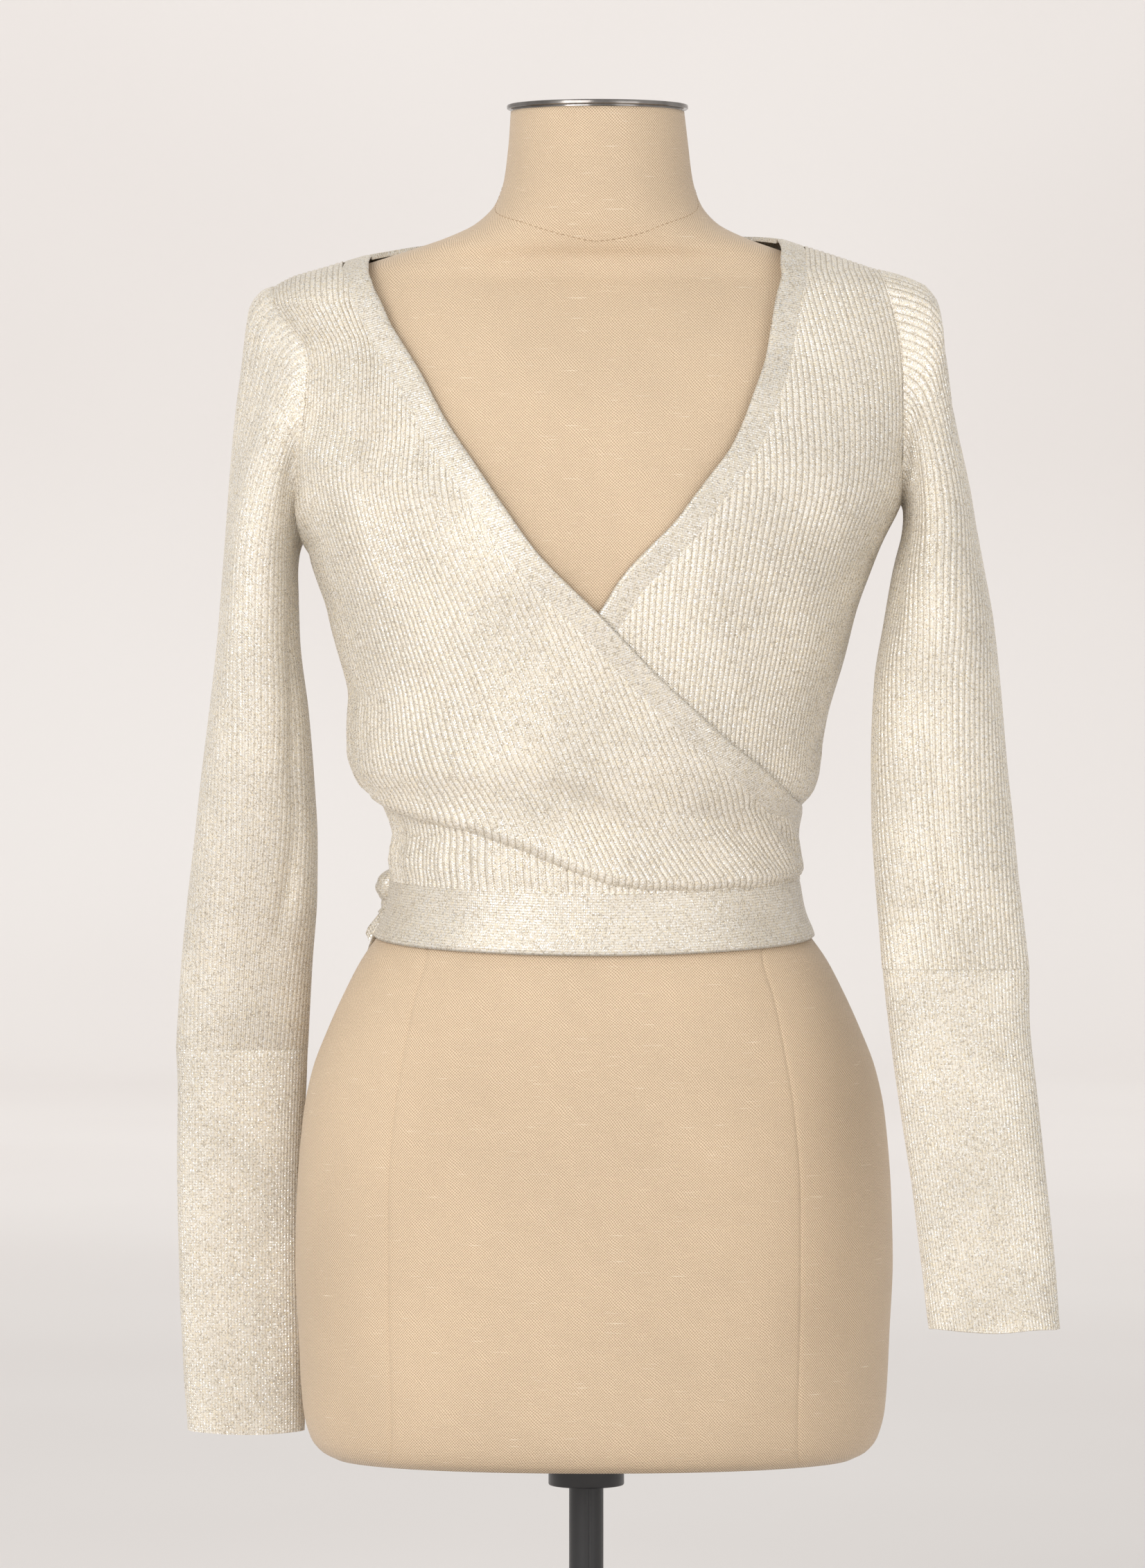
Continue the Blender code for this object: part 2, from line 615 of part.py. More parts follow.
def new_object(name, mesh, material):
    """Puts a mesh in the scene under a name, with one material."""
    obj = bpy.data.objects.new(name, mesh)
    bpy.context.scene.collection.objects.link(obj)
    mesh.materials.append(material)
    return obj


def add_face(work, corners):
    """A face from corners that may repeat, where a rib has ended."""
    unique = list(dict.fromkeys(corners))
    if len(unique) > 2:
        work.faces.new(unique)


def point_grid(work, points, tops):
    """Vertices of a grid whose columns end at their last rows."""
    rows, count = points.shape[:2]
    columns = []
    for c in range(count):
        last = rows - 1 if tops is None else tops[c]
        made = {}
        line = []
        for r in range(rows):
            key = tuple(np.round(points[min(r, last), c], 6))
            if key not in made:
                made[key] = work.verts.new(points[min(r, last), c] * MM)
            line.append(made[key])
        columns.append(line)
    return [[columns[c][r] for c in range(count)] for r in range(rows)]


def wall(name, outer, inner, round_piece, material, tops=None):
    """A closed cloth wall between an outer and a plainer inner grid of points, in millimetres.

    Both grids have the same rows. The outer one has a whole number of columns for each inner one,
    and tops gives the row in which each outer column ends.
    """
    rows, outer_count = outer.shape[:2]
    inner_count = inner.shape[1]
    step = outer_count // inner_count if round_piece else (outer_count - 1) // (inner_count - 1)
    work = bmesh.new()
    outer_points = point_grid(work, outer, tops)
    inner_points = point_grid(work, inner, None if tops is None else tops[::step])
    outer_last = outer_count if round_piece else outer_count - 1
    inner_last = inner_count if round_piece else inner_count - 1
    for r in range(rows - 1):
        for grid, last, total in ((outer_points, outer_last, outer_count),
                                  (inner_points, inner_last, inner_count)):
            for c in range(last):
                d = (c + 1) % total
                add_face(work, (grid[r][c], grid[r][d], grid[r + 1][d], grid[r + 1][c]))
    for r in (0, rows - 1):
        for j in range(inner_last):
            near, far = inner_points[r][j], inner_points[r][(j + 1) % inner_count]
            middle = step // 2
            for i in range(step):
                a = outer_points[r][(j * step + i) % outer_count]
                b = outer_points[r][(j * step + i + 1) % outer_count]
                work.faces.new((near if i < middle else far, a, b))
            turn_point = outer_points[r][(j * step + middle) % outer_count]
            work.faces.new((near, turn_point, far))
    if not round_piece:
        for r in range(rows - 1):
            for c_out, c_in in ((0, 0), (outer_count - 1, inner_count - 1)):
                add_face(work, (outer_points[r][c_out], outer_points[r + 1][c_out],
                                inner_points[r + 1][c_in], inner_points[r][c_in]))
    bmesh.ops.recalc_face_normals(work, faces=work.faces)
    mesh = bpy.data.meshes.new(name)
    work.to_mesh(mesh)
    work.free()
    return new_object(name, mesh, material)


def panel(name, paths, lift, puff, levels, inner_step, material):
    """One ribbed panel made from its ribs' paths."""
    points, ways, tops = rib_grid(paths, lift, puff, levels)
    thick = GROOVE_WALL + rib_rise(points.shape[1])
    outer = points + ways * thick[None, :, None]
    return wall(name, outer, points[:, ::inner_step], False, material, tops)


def strip(name, edge_a, edge_b, lift, thickness, across, material, puff=0.0):
    """A flat band between two routes over the cloth."""
    columns = []
    for share in np.linspace(0, 1, across):
        columns.append(edge_a * (1 - share) + edge_b * share)
    grid = np.array(columns).transpose(1, 0, 2)
    points, ways = cloth_point(grid[..., 0], grid[..., 1], lift(grid[..., 0], grid[..., 1]), puff)
    return wall(name, points + ways * thickness, points, False, material)


def neckband(name, wearer_right, count, material):
    """The flat band down one front's free edge."""
    edge = edge_route(wearer_right)
    gap = BAND_SEAM_GAP + SHOULDER_SEAM_GAP * ease((edge[:, 1] - 625) / 30)
    away = beside(edge, (-1 if wearer_right else 1) * (NECKBAND_WIDTH - gap))
    away[:, 1] = np.maximum(away[:, 1], BAND_TOP_SIDE + SEAM_GAP)
    picks = np.linspace(0, len(edge) - 1, count).astype(int)
    return strip(name, edge[picks], away[picks], front_lift(wearer_right), BAND_WALL, 2, material,
                 1.0 if wearer_right else 0.0)


def back_neckband(material):
    """The flat band round the back of the neck."""
    route = back_neck_route()
    low = beside(route, NECKBAND_WIDTH - BAND_SEAM_GAP - SHOULDER_SEAM_GAP)
    picks = np.linspace(0, len(route) - 1, 27).astype(int)
    return strip("neckband_back", route[picks], low[picks], no_lift, BAND_WALL, 2, material)


def waistband(name, first, last, layer, material, margin=0.0, slant=0.0):
    """A stretch of waistband between two turns, with points at the same turns in each layer."""
    low_end, high_end = min(first, last), max(first, last)
    steps = np.arange(math.ceil(low_end * BAND_STEPS), high_end * BAND_STEPS + 0.001) / BAND_STEPS
    inside = steps[(steps > low_end + 0.008) & (steps < high_end - 0.008)]
    turns = np.concatenate([[low_end], inside, [high_end]])
    low_turns = np.where(turns < low_end + slant, low_end + slant + (turns - low_end) * 0.01, turns)
    low = np.stack([low_turns, band_bottom(turns) + margin], axis=1)
    top = np.stack([turns, band_top(turns) - margin], axis=1)

    def lift(turn, height):
        return no_lift(turn, height) + layer * BAND_LAYER_STEP

    return strip(name, low, top, lift, BAND_WALL, 2, material)


def ribbon(name, stations, thickness, material):
    """A piece of tie through stations: turn, height, distance out, and half its width as a turn and
    a height.
    """
    at = np.arange(len(stations), dtype=float)
    fine = np.linspace(0, len(stations) - 1, 4 * len(stations) - 3)
    values = np.stack([smooth(at, column(stations, field), fine) for field in TieStation._fields], 1)
    grid = []
    for side in (-1, 1):
        point, _ = cloth_point(values[:, 0] + side * values[:, 3], values[:, 1] + side * values[:, 4],
                               values[:, 2])
        grid.append(point)
    points = np.array(grid).transpose(1, 0, 2)
    along = np.gradient(points, axis=0)
    across = np.repeat(points[:, 1:] - points[:, :1], 2, axis=1)
    out = np.cross(across, along)
    out /= np.linalg.norm(out, axis=2, keepdims=True)
    return wall(name, points + out * thickness, points, False, material)


def tie_left(material):
    """The under front's tie, out of the slit at the wearer's right side and back to the knot."""
    turns = np.linspace(1.996, 1.950, 7)
    low = np.stack([turns, np.linspace(305.0, 311.5, 7)], axis=1)
    top = np.stack([turns, np.linspace(325.0, 331.0, 7)], axis=1)

    def lift(turn, height):
        return no_lift(turn, height) + TIE_LEFT_LIFT

    return strip("tie_left", low, top, lift, BAND_WALL, 2, material)


def tie_knot(material):
    """The knot behind the wearer's right side: a soft block, pinched at its waist."""
    across, up = 12, 7
    work_rings = []
    for j in range(up):
        rise = j / (up - 1)
        height = 311 + 15 * rise
        pinch = 1 - 0.22 * math.sin(math.pi * rise)
        ring = []
        for i in range(across):
            angle = 2 * math.pi * i / across
            turn = 1.932 + 0.0155 * pinch * math.cos(angle)
            out = 6.6 + 3.2 * pinch * math.sin(angle)
            ring.append(cloth_point(turn, height, out)[0])
        work_rings.append(ring)
    return closed_rings("tie_knot", np.array(work_rings), material)


def armhole_edge(wearer_right, back):
    """The turns and heights of a panel's armhole edge, at the panel's own rows."""
    levels = BACK_LEVELS if back else FRONT_LEVELS
    turns, heights = rib_path(0.0, wearer_right, back, lambda h: 0 * h)
    low = armhole_span(wearer_right)[0]
    top = heights[-1]
    at = [low] + [level for level in levels if low + 1 < level < top - LEVEL_MARGIN] + [top]
    return np.interp(at, heights, turns), np.array(at, float)


def armhole_loop(wearer_right, count):
    """Points round an armhole from the armpit up the front and down the back, and the way out."""
    front_turns, front_heights = armhole_edge(wearer_right, False)
    back_turns, back_heights = armhole_edge(wearer_right, True)
    turns = np.concatenate([front_turns, back_turns[::-1][1:-1]])
    rises = np.concatenate([front_heights, back_heights[::-1][1:-1]])
    points, ways = cloth_point(turns, rises)
    carried = np.concatenate([points, ways], axis=1)
    carried = np.concatenate([carried, carried[:1]], axis=0)
    picked = resample(carried, np.arange(count) / count)
    out = picked[:, 3:]
    return picked[:, :3], out / np.linalg.norm(out, axis=1, keepdims=True)


def sleeve_ring(row_values, side, count, turn_shift=0.0):
    """A sleeve's horizontal section, from its inner point round the front."""
    height, outer, inner, front, back = row_values
    centre_x, half = (outer + inner) / 2, (outer - inner) / 2
    centre_y, deep = (front + back) / 2, (back - front) / 2
    fine = np.linspace(0, 2, 241)
    x, y = ring_point(half, half, deep, deep, 0, fine, SLEEVE_POWER)
    loop = np.stack([centre_x + x, centre_y + y, 0 * x + height], axis=1)
    picked = resample(loop, np.mod(np.arange(count) / count + turn_shift, 1))
    return picked * np.array([side, 1, 1])


def sleeve_rows(rows, heights):
    """A sleeve's table read at other heights."""
    at = column(rows, "height")
    order = np.argsort(at)
    values = [heights]
    for name in SleeveRow._fields[1:]:
        values.append(smooth(at[order], column(rows, name)[order], heights))
    return np.stack(values, axis=1)


def sleeve_grid(wearer_right, count, armhole):
    """Rows of points of a sleeve's inner face, from the armhole down to the cuff's seam."""
    side = -1 if wearer_right else 1
    rows = RIGHT_SLEEVE if wearer_right else LEFT_SLEEVE
    loop, out = armhole
    around = np.roll(loop, -1, axis=0) - np.roll(loop, 1, axis=0)
    around /= np.linalg.norm(around, axis=1, keepdims=True)
    away = np.cross(around, out)
    inward = loop.mean(axis=0) - loop
    away *= np.sign(np.sum(away * inward, axis=1, keepdims=True))
    share = np.arange(count) / count
    low_part = np.clip(np.cos(2 * math.pi * share), 0, 1) ** 0.7
    start = loop + away * ARMHOLE_GAP + out * (low_part * (GROOVE_WALL + RIB_RISE + 0.6))[:, None]
    end = sleeve_ring(sleeve_rows(rows, np.array([rows[0].height]))[0], side, count)
    reach = np.linalg.norm(end - start, axis=1, keepdims=True)
    outward = np.array([side * 1.0, 0.0, -0.45])
    first_way = 0.5 * away * np.array([1, 0.3, 1]) + 0.7 * outward
    first_way *= HEAD_START / np.linalg.norm(first_way, axis=1, keepdims=True)
    below = sleeve_ring(sleeve_rows(rows, np.array([rows[0].height - 6.0]))[0], side, count)
    last_way = HEAD_END * (below - end) / 6.0
    grid = []
    for t in RIGHT_HEAD_STEPS if wearer_right else LEFT_HEAD_STEPS:
        grid.append(start * (1 + 2 * t) * (1 - t) ** 2 + first_way * reach * t * (1 - t) ** 2
                    + end * t * t * (3 - 2 * t) + last_way * reach * t * t * (t - 1))
    top_rises = [row[count // 2, 2] for row in grid]
    puff = np.interp(top_rises, *(RIGHT_HEAD_PUFF if wearer_right else LEFT_HEAD_PUFF))
    puff[0] = 0
    top_part = np.clip(-np.cos(2 * math.pi * share), 0, 1) ** 0.8
    for row, amount in zip(grid, puff):
        row[:, 0] += side * amount * top_part
    heights = np.linspace(rows[0].height, rows[-1].height, SLEEVE_ROWS_BELOW)
    for values in sleeve_rows(rows, heights):
        grid.append(sleeve_ring(values, side, count))
    return np.array(grid)


def tube_ways(grid):
    """The way out of a tube at each point of its grid."""
    around = np.roll(grid, -1, axis=1) - np.roll(grid, 1, axis=1)
    along = np.gradient(grid, axis=0)
    out = np.cross(around, along)
    out /= np.linalg.norm(out, axis=2, keepdims=True)
    middle = grid.mean(axis=1, keepdims=True)
    if np.sum((grid - middle) * out) < 0:
        out = -out
    return out


def ribbed_tube(name, grid, material, first_ways=None):
    """A ribbed tube of cloth round a grid of points of its inner face."""
    ways = tube_ways(grid)
    if first_ways is not None:
        ways[0] = first_ways
    thick = GROOVE_WALL + rib_rise(grid.shape[1])
    outer = grid + ways * thick[None, :, None]
    return wall(name, outer, grid[:, ::TUBE_INNER_STEP], True, material)


def sleeve(name, wearer_right, material):
    """A sleeve from its armhole to its cuff."""
    armhole = armhole_loop(wearer_right, 2 * SLEEVE_RIBS)
    grid = sleeve_grid(wearer_right, 2 * SLEEVE_RIBS, armhole)
    return ribbed_tube(name, grid, material, armhole[1])


def cuff(name, wearer_right, material):
    """A long cuff in finer ribs."""
    rows = RIGHT_CUFF if wearer_right else LEFT_CUFF
    side = -1 if wearer_right else 1
    heights = np.linspace(rows[0].height, rows[-1].height, CUFF_ROWS)
    grid = [sleeve_ring(values, side, 2 * CUFF_RIBS) for values in sleeve_rows(rows, heights)]
    return ribbed_tube(name, np.array(grid), material)


def closed_rings(name, rings, material, smooth_angle=40):
    """A solid through rings of points, in millimetres, closed at both ends."""
    work = bmesh.new()
    made = [[work.verts.new(point * MM) for point in ring] for ring in rings]
    for low, high in zip(made[:-1], made[1:]):
        for c in range(len(low)):
            d = (c + 1) % len(low)
            work.faces.new((low[c], low[d], high[d], high[c]))
    work.faces.new(made[0])
    work.faces.new(made[-1])
    bmesh.ops.recalc_face_normals(work, faces=work.faces)
    mesh = bpy.data.meshes.new(name)
    work.to_mesh(mesh)
    work.free()
    mesh.shade_smooth()
    mesh.set_sharp_from_angle(angle=math.radians(smooth_angle))
    return new_object(name, mesh, material)


def form(material):
    """The form's torso and neck in one smooth closed solid."""
    heights = np.array(FORM_LEVELS, float)[:, None]
    half_width, front, back, centre_x, centre_y = form_size(heights)
    turns = np.linspace(0, 2, FORM_SIDES, endpoint=False)[None, :]
    x, y = ring_point(half_width, half_width, front, back, centre_y, turns)
    rings = np.stack([x + centre_x, y, heights + 0 * x], axis=-1)
    return closed_rings("form", rings, material)


def turned(name, profile, place, segments, material):
    """A solid of revolution from pairs of radius and height, in millimetres, closed at both ends."""
    angles = 2 * math.pi * np.arange(segments) / segments
    rings = [np.stack([radius * np.cos(angles), radius * np.sin(angles), 0 * angles + height], axis=1)
             for radius, height in profile]
    obj = closed_rings(name, np.array(rings), material, 30)
    obj.location = [value * MM for value in place]
    return obj


def stand(metal, dark):
    """The cap on the neck, and the collar, pole and base below the form."""
    radius = CAP_DIAMETER / 2
    turned("neck_cap", ((radius - 1, 0), (radius, 0.8), (radius, CAP_THICKNESS - 0.8),
                        (radius - 0.8, CAP_THICKNESS)),
           (CAP_X, CAP_Y, STAND_HEIGHT + NECK_TOP + SEAM_GAP), 40, metal)
    collar = COLLAR_DIAMETER / 2
    turned("pole_collar", ((collar - 1, -COLLAR_HEIGHT), (collar, -COLLAR_HEIGHT + 1), (collar, 0)),
           (POLE_X, 0, STAND_HEIGHT - SEAM_GAP), 24, dark)
    pole = POLE_DIAMETER / 2
    turned("pole", ((pole, 0), (pole, STAND_HEIGHT - COLLAR_HEIGHT - BASE_THICKNESS - 3 * SEAM_GAP)),
           (POLE_X, 0, BASE_THICKNESS + SEAM_GAP), 24, dark)
    base = BASE_DIAMETER / 2
    turned("base", ((base, 0), (base, BASE_THICKNESS - BASE_CHAMFER),
                    (base - BASE_CHAMFER, BASE_THICKNESS)), (0, 0, 0), 48, dark)


def finish_material(name, colour, roughness, metallic=0.0):
    """A plain surface with one colour."""
    material = bpy.data.materials.new(name)
    material.use_nodes = True
    shader = material.node_tree.nodes["Principled BSDF"]
    shader.inputs["Base Color"].default_value = (*colour, 1)
    shader.inputs["Roughness"].default_value = roughness
    shader.inputs["Metallic"].default_value = metallic
    return material


def raise_to_stand(obj):
    """Lifts the form or a piece of the garment from the form's heights to the stand's."""
    obj.location.z += STAND_HEIGHT * MM


def main():
    for obj in list(bpy.data.objects):
        bpy.data.objects.remove(obj, do_unlink=True)
    rib_knit = finish_material("rib_knit", (0.78, 0.70, 0.53), 0.5)
    flat_knit = finish_material("flat_knit", (0.80, 0.72, 0.56), 0.5)
    linen = finish_material("linen", (0.55, 0.42, 0.27), 0.8)
    metal = finish_material("dark_metal", (0.10, 0.09, 0.09), 0.2, 1.0)
    black = finish_material("black_satin", (0.02, 0.02, 0.022), 0.35)

    stand(metal, black)
    raised = [
        form(linen),
        panel("front_right", front_paths(True, 2 * FRONT_RIBS + 1), top_front_lift, 1.0,
              FRONT_LEVELS, 2, rib_knit),
        panel("front_left", front_paths(False, 2 * LEFT_FRONT_RIBS + 1), no_lift, 0.0,
              FRONT_LEVELS, 2, rib_knit),
        panel("back", back_paths(2 * BACK_RIBS + 1), no_lift, 0.0, BACK_LEVELS, 4, rib_knit),
        sleeve("sleeve_right", True, rib_knit),
        sleeve("sleeve_left", False, rib_knit),
        cuff("cuff_right", True, rib_knit),
        cuff("cuff_left", False, rib_knit),
        neckband("neckband_right", True, 41, flat_knit),
        neckband("neckband_left", False, 41, flat_knit),
        back_neckband(flat_knit),
        waistband("waistband_right", 0.004, WRAP_TURN, 1, flat_knit, slant=0.015),
        waistband("waistband_left", 0.05, 0.996, 0, flat_knit),
        waistband("waistband_back", 1.0, 1.996, 0, flat_knit),
        waistband("tie_right", WRAP_TURN + 0.002, 1.915, 1, flat_knit, margin=1.0),
        tie_left(flat_knit),
        tie_knot(flat_knit),
        ribbon("tie_loop", TIE_LOOP, BAND_WALL, flat_knit),
        ribbon("tie_end_right", TIE_END_RIGHT, BAND_WALL, flat_knit),
        ribbon("tie_end_left", TIE_END_LEFT, BAND_WALL, flat_knit),
    ]
    for obj in raised:
        raise_to_stand(obj)


main()
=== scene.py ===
"""Looks of a ribbed wrap top worn on a linen dress form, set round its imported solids.

Metres, +Z up, +X to the viewer's right, front facing -Y. Tables and sizes are in millimetres, and
their heights are measured from the form's lower edge, STAND_HEIGHT above the floor. "Right" and
"left" in names are the wearer's. A turn tells how far round the body a place is: 0 at the viewer's
left side, 0.5 in front, 1 at the viewer's right side and 1.5 behind.
"""
import math
from collections import namedtuple

import bpy
import numpy as np
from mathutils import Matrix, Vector


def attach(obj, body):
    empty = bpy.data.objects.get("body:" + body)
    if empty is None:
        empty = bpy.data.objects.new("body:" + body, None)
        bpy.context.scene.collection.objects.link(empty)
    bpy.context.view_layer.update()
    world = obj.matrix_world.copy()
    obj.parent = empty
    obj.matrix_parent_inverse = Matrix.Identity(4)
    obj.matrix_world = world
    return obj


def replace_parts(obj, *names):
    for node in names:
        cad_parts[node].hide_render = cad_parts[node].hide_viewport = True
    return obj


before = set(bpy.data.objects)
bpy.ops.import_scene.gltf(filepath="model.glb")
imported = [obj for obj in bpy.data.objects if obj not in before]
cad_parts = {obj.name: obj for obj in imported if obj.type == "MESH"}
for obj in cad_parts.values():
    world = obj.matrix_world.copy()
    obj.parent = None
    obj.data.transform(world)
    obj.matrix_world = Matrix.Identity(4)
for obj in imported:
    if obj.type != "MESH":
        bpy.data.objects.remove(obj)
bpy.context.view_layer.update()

MM = 0.001
STAND_HEIGHT = 200.0
FORM_HEIGHT = 781.0


def table(columns, *rows):
    """A table given by its rows, as one array for each named column."""
    return namedtuple("Table", columns)(*np.array(rows, float).T)


def crease_rows(*rows):
    """Creases: lines from one place and height to another, with half width, rise and bend.

    The rise is negative for a trough. A place is a turn on the torso. On a sleeve it is the share of
    the way round: 0 towards the body, 0.25 in front and 0.5 on the outer side.
    """
    crease = namedtuple("Crease", "place_a height_a place_b height_b width rise bend")
    return [crease(*row) for row in rows]


EDGE = "x height"
SLEEVE = "height outer inner front back"
STATION = "turn height out half_turn"

# The form's horizontal sections
FORM_ROWS = table(
    "height half_width front back centre_x centre_y",
    (0, 150, 92, 100, 0, 0), (4, 158, 98, 107, 0, 0), (12, 164.5, 102, 112, 0, 0),
    (30, 169, 105, 116, 0, 0), (77, 171.7, 107.5, 120, 0, 0), (114, 173.4, 108.5, 122, 0, 0),
    (151, 172.5, 108, 121, 0, 0), (200, 168.6, 106, 116.5, 0, 0), (225, 163.5, 104, 111.5, 0, 0),
    (250, 154, 101, 104, 0, 0), (275, 142.5, 97, 96, 0, 0), (290, 134.5, 94, 90.5, 0, 0),
    (298, 129, 92.5, 87.5, 0, 0), (304, 124.6, 91.3, 85.3, 0, 0), (322, 114.5, 88.7, 79.7, 0, 0),
    (345, 108.5, 86.5, 76, 0, 0), (370, 110, 88.5, 76, 0, 0), (400, 118, 94.5, 79, 0, 0),
    (450, 132, 107, 87, 0, 0), (490, 144, 118, 94, 0, 0), (530, 153, 125, 100, 0, 0),
    (570, 159, 120, 102, 0, 1), (610, 164, 106, 99, 0, 3), (640, 169, 88, 90, 0, 5),
    (660, 174, 72.5, 78, 0, 6), (668, 174, 65, 71, 0, 6), (676, 169.5, 57.5, 63.5, 0, 6),
    (685, 154.5, 50, 57, 0, 6), (694, 127.5, 48.5, 54.5, 0, 6), (701, 106, 52, 56, 0.5, 6),
    (708, 86, 54, 56, 1, 6), (716, 70, 55.5, 57, 1.5, 6), (728, 59.2, 55, 57.5, 2.3, 6),
    (741, 54.8, 53.5, 56, 2.5, 6), (759, 52.4, 52, 54, 2.5, 6), (781, 50.3, 50, 52, 2, 6))
SECTION_POWER = 2.15

# The inner face of the garment's first layer, as distances from the middle
CLOTH_ROWS = table(
    "height left right front back",
    (200, 173, 173, 110, 120.5), (250, 158.5, 158.5, 105, 108.5), (275, 147, 147, 101, 100.5),
    (290, 136.5, 136.5, 96.5, 93), (304, 125.8, 125.8, 92.6, 86.6), (318, 118, 119.8, 90.9, 82.6),
    (338, 116.3, 116.2, 89.8, 78.6), (350, 116.4, 114.2, 90.6, 78.8), (361, 113.6, 113.6, 91.2, 79.2),
    (376, 117.5, 116.5, 94, 81), (388, 124.5, 126, 98.5, 84), (400, 134, 129.5, 103.5, 87),
    (412, 138.5, 130.5, 106.5, 89), (427, 140.5, 132.8, 108.5, 90), (437, 138.5, 135, 109.5, 90.5),
    (446, 138.7, 138, 111, 91), (466, 145, 144.3, 115, 93), (493, 152.4, 150.5, 121, 97),
    (516, 159.6, 159.5, 125.5, 100.5), (533, 167, 165.5, 127.5, 103), (555, 175, 178, 126, 104.5),
    (580, 180, 184, 120.5, 104.5), (610, 182, 187, 108.5, 102), (640, 184, 188, 93.5, 96),
    (660, 188, 189, 80.5, 86), (670, 189, 189, 73, 78.5), (676, 187, 187.5, 68.5, 74),
    (683, 177, 178, 64, 69), (690, 154.5, 158, 60.5, 65), (697, 131, 137, 58.5, 63),
    (703, 112, 118, 57, 62), (710, 94, 98, 56.5, 61), (718, 80, 82, 58, 62))

# Where and how widely those sections are softened, in millimetres and in half millimetres
SOFT_FROM = 395.0
SOFT_TO = 655.0
SOFT_WIDTH = 26.0
SOFT_REACH = 60

# Cloth thickness, layers and seams
GROOVE_WALL = 0.9
BAND_WALL = 1.2
TUCKED_WALL = 0.55
RIB_RISE = 0.7
LOWEST_LAYER_STEP = 1.5
LAYER_STEP = 3.1
BAND_LAYER_STEP = 1.6
SEAM_LAP = 0.7
NECK_SEAM_LAP = 0.8
RIDGE_GAP_TURN = 0.0002
RIM_ANGLE = 80

# The free edges of the two fronts as seen from the front, and the neck's edge behind
RIGHT_FRONT_EDGE = table(
    EDGE, (-129, 697), (-129, 684), (-124, 672), (-115, 653), (-99, 627), (-84, 599), (-68, 575),
    (-53, 553), (-31, 523), (3, 489), (36, 454), (54, 437), (78, 415), (97, 400), (110, 387), (116.5, 377))
LEFT_FRONT_EDGE = table(
    EDGE, (106, 706), (107.5, 698), (107, 688), (105, 675), (101, 655), (97, 634), (90, 614), (84, 598),
    (76, 582), (67, 570), (57, 557), (45, 541), (31, 527), (16, 511), (3, 491), (-20, 464), (-50, 434),
    (-80, 406), (-100, 387))
BACK_NECK = table(
    "turn height",
    (1.9996, 697.5), (1.96, 700), (1.9, 704), (1.75, 709), (1.5, 711), (1.25, 711), (1.1, 709.5),
    (1.0004, 707))
NECKBAND_WIDTH = 14.5
BACK_BEAD = 2.4

# The front half of each armhole, from the middle
RIGHT_ARMHOLE = table(
    EDGE, (167, 533), (168.8, 556), (168.8, 578), (166.5, 600), (164.4, 616), (163.6, 630), (164.8, 639),
    (167.2, 646), (172.5, 653), (178, 661), (183, 669), (184.5, 677))
LEFT_ARMHOLE = table(
    EDGE, (177.5, 554.5), (177, 575), (177, 593), (177, 612), (176.5, 631), (174, 652), (170.5, 668),
    (167, 680), (164, 687.5))

# The waistband
BAND_TOP_SIDE = 336.5
BAND_TOP_DROP = 6.0
BAND_BOTTOM_SIDE = 303.5
BAND_BOTTOM_DROP = 8.5
WRAP_TURN = 1.115
EDGE_END_HEIGHTS = (364, BAND_TOP_SIDE + 2.5)

# The tie's pieces at the wearer's right side, over the waistband
TIE_END_RIGHT = table(
    STATION, (1.934, 310.6, 5.4, 0.012), (1.917, 301, 4.6, 0.017), (1.876, 282, 3.4, 0.02),
    (1.845, 258, 3, 0.022), (1.83, 234, 2.8, 0.023))
TIE_END_LEFT = table(
    STATION, (1.908, 310.6, 8, 0.01), (1.884, 300, 7.6, 0.016), (1.83, 283, 6.2, 0.021),
    (1.785, 264, 5.4, 0.023), (1.762, 243, 4.8, 0.023))
LOOP_TURN = 1.979
LOOP_HALF_TURN = 0.025
LOOP_LOW = 321.5
LOOP_HIGH = 341.0
LOOP_RISE = 8.8
TIE_LEFT_LIFT = 3.9
TIE_LEFT_START = 1.8
TIE_LEFT_FLARE = 1.8
KNOT_TURN = 1.932
KNOT_HALF_TURN = 0.0155
KNOT_LOW = 311.0
KNOT_HEIGHT = 15.0

# The sleeves' horizontal sections below the armhole, from the middle
RIGHT_SLEEVE = table(
    SLEEVE, (508, 214.4, 173, -54, 58), (475, 217.2, 172, -49, 57), (432, 222.3, 167, -40, 55),
    (394, 227.2, 164, -30, 53), (358, 231.4, 162.2, -19, 52), (326, 235.4, 162.6, -8, 52),
    (287, 239.6, 165.6, 6, 53), (236, 243.2, 168.5, 18, 53))
RIGHT_CUFF = table(
    SLEEVE, (236.6, 243.2, 168.5, 18, 53), (201, 242, 170.3, 22, 54), (149, 242, 171, 24, 55),
    (95, 242, 171, 25, 55), (51, 240, 171.2, 25, 55), (11, 237.6, 172, 26, 56))
LEFT_SLEEVE = table(
    SLEEVE, (530, 221.6, 178.6, -58, 52), (517, 223.8, 175, -62, 46), (484, 229, 168.5, -70, 26),
    (450, 232, 162.5, -76, 4), (404, 235, 160, -88, -22), (372, 237.8, 159.8, -95, -39),
    (340, 240.2, 161.2, -104, -56), (314, 242.8, 163, -110, -70), (288, 245.2, 164.6, -118, -84))
LEFT_CUFF = table(
    SLEEVE, (288.6, 245.2, 164.6, -118, -84), (255, 245.8, 168.6, -130, -98),
    (223, 248, 172.3, -142, -112), (182, 250.6, 177, -158, -130), (130, 255.4, 183.6, -178, -152),
    (90, 259.6, 189.3, -194, -169))
SLEEVE_POWER = 2.3
ARMHOLE_GAP = -0.4

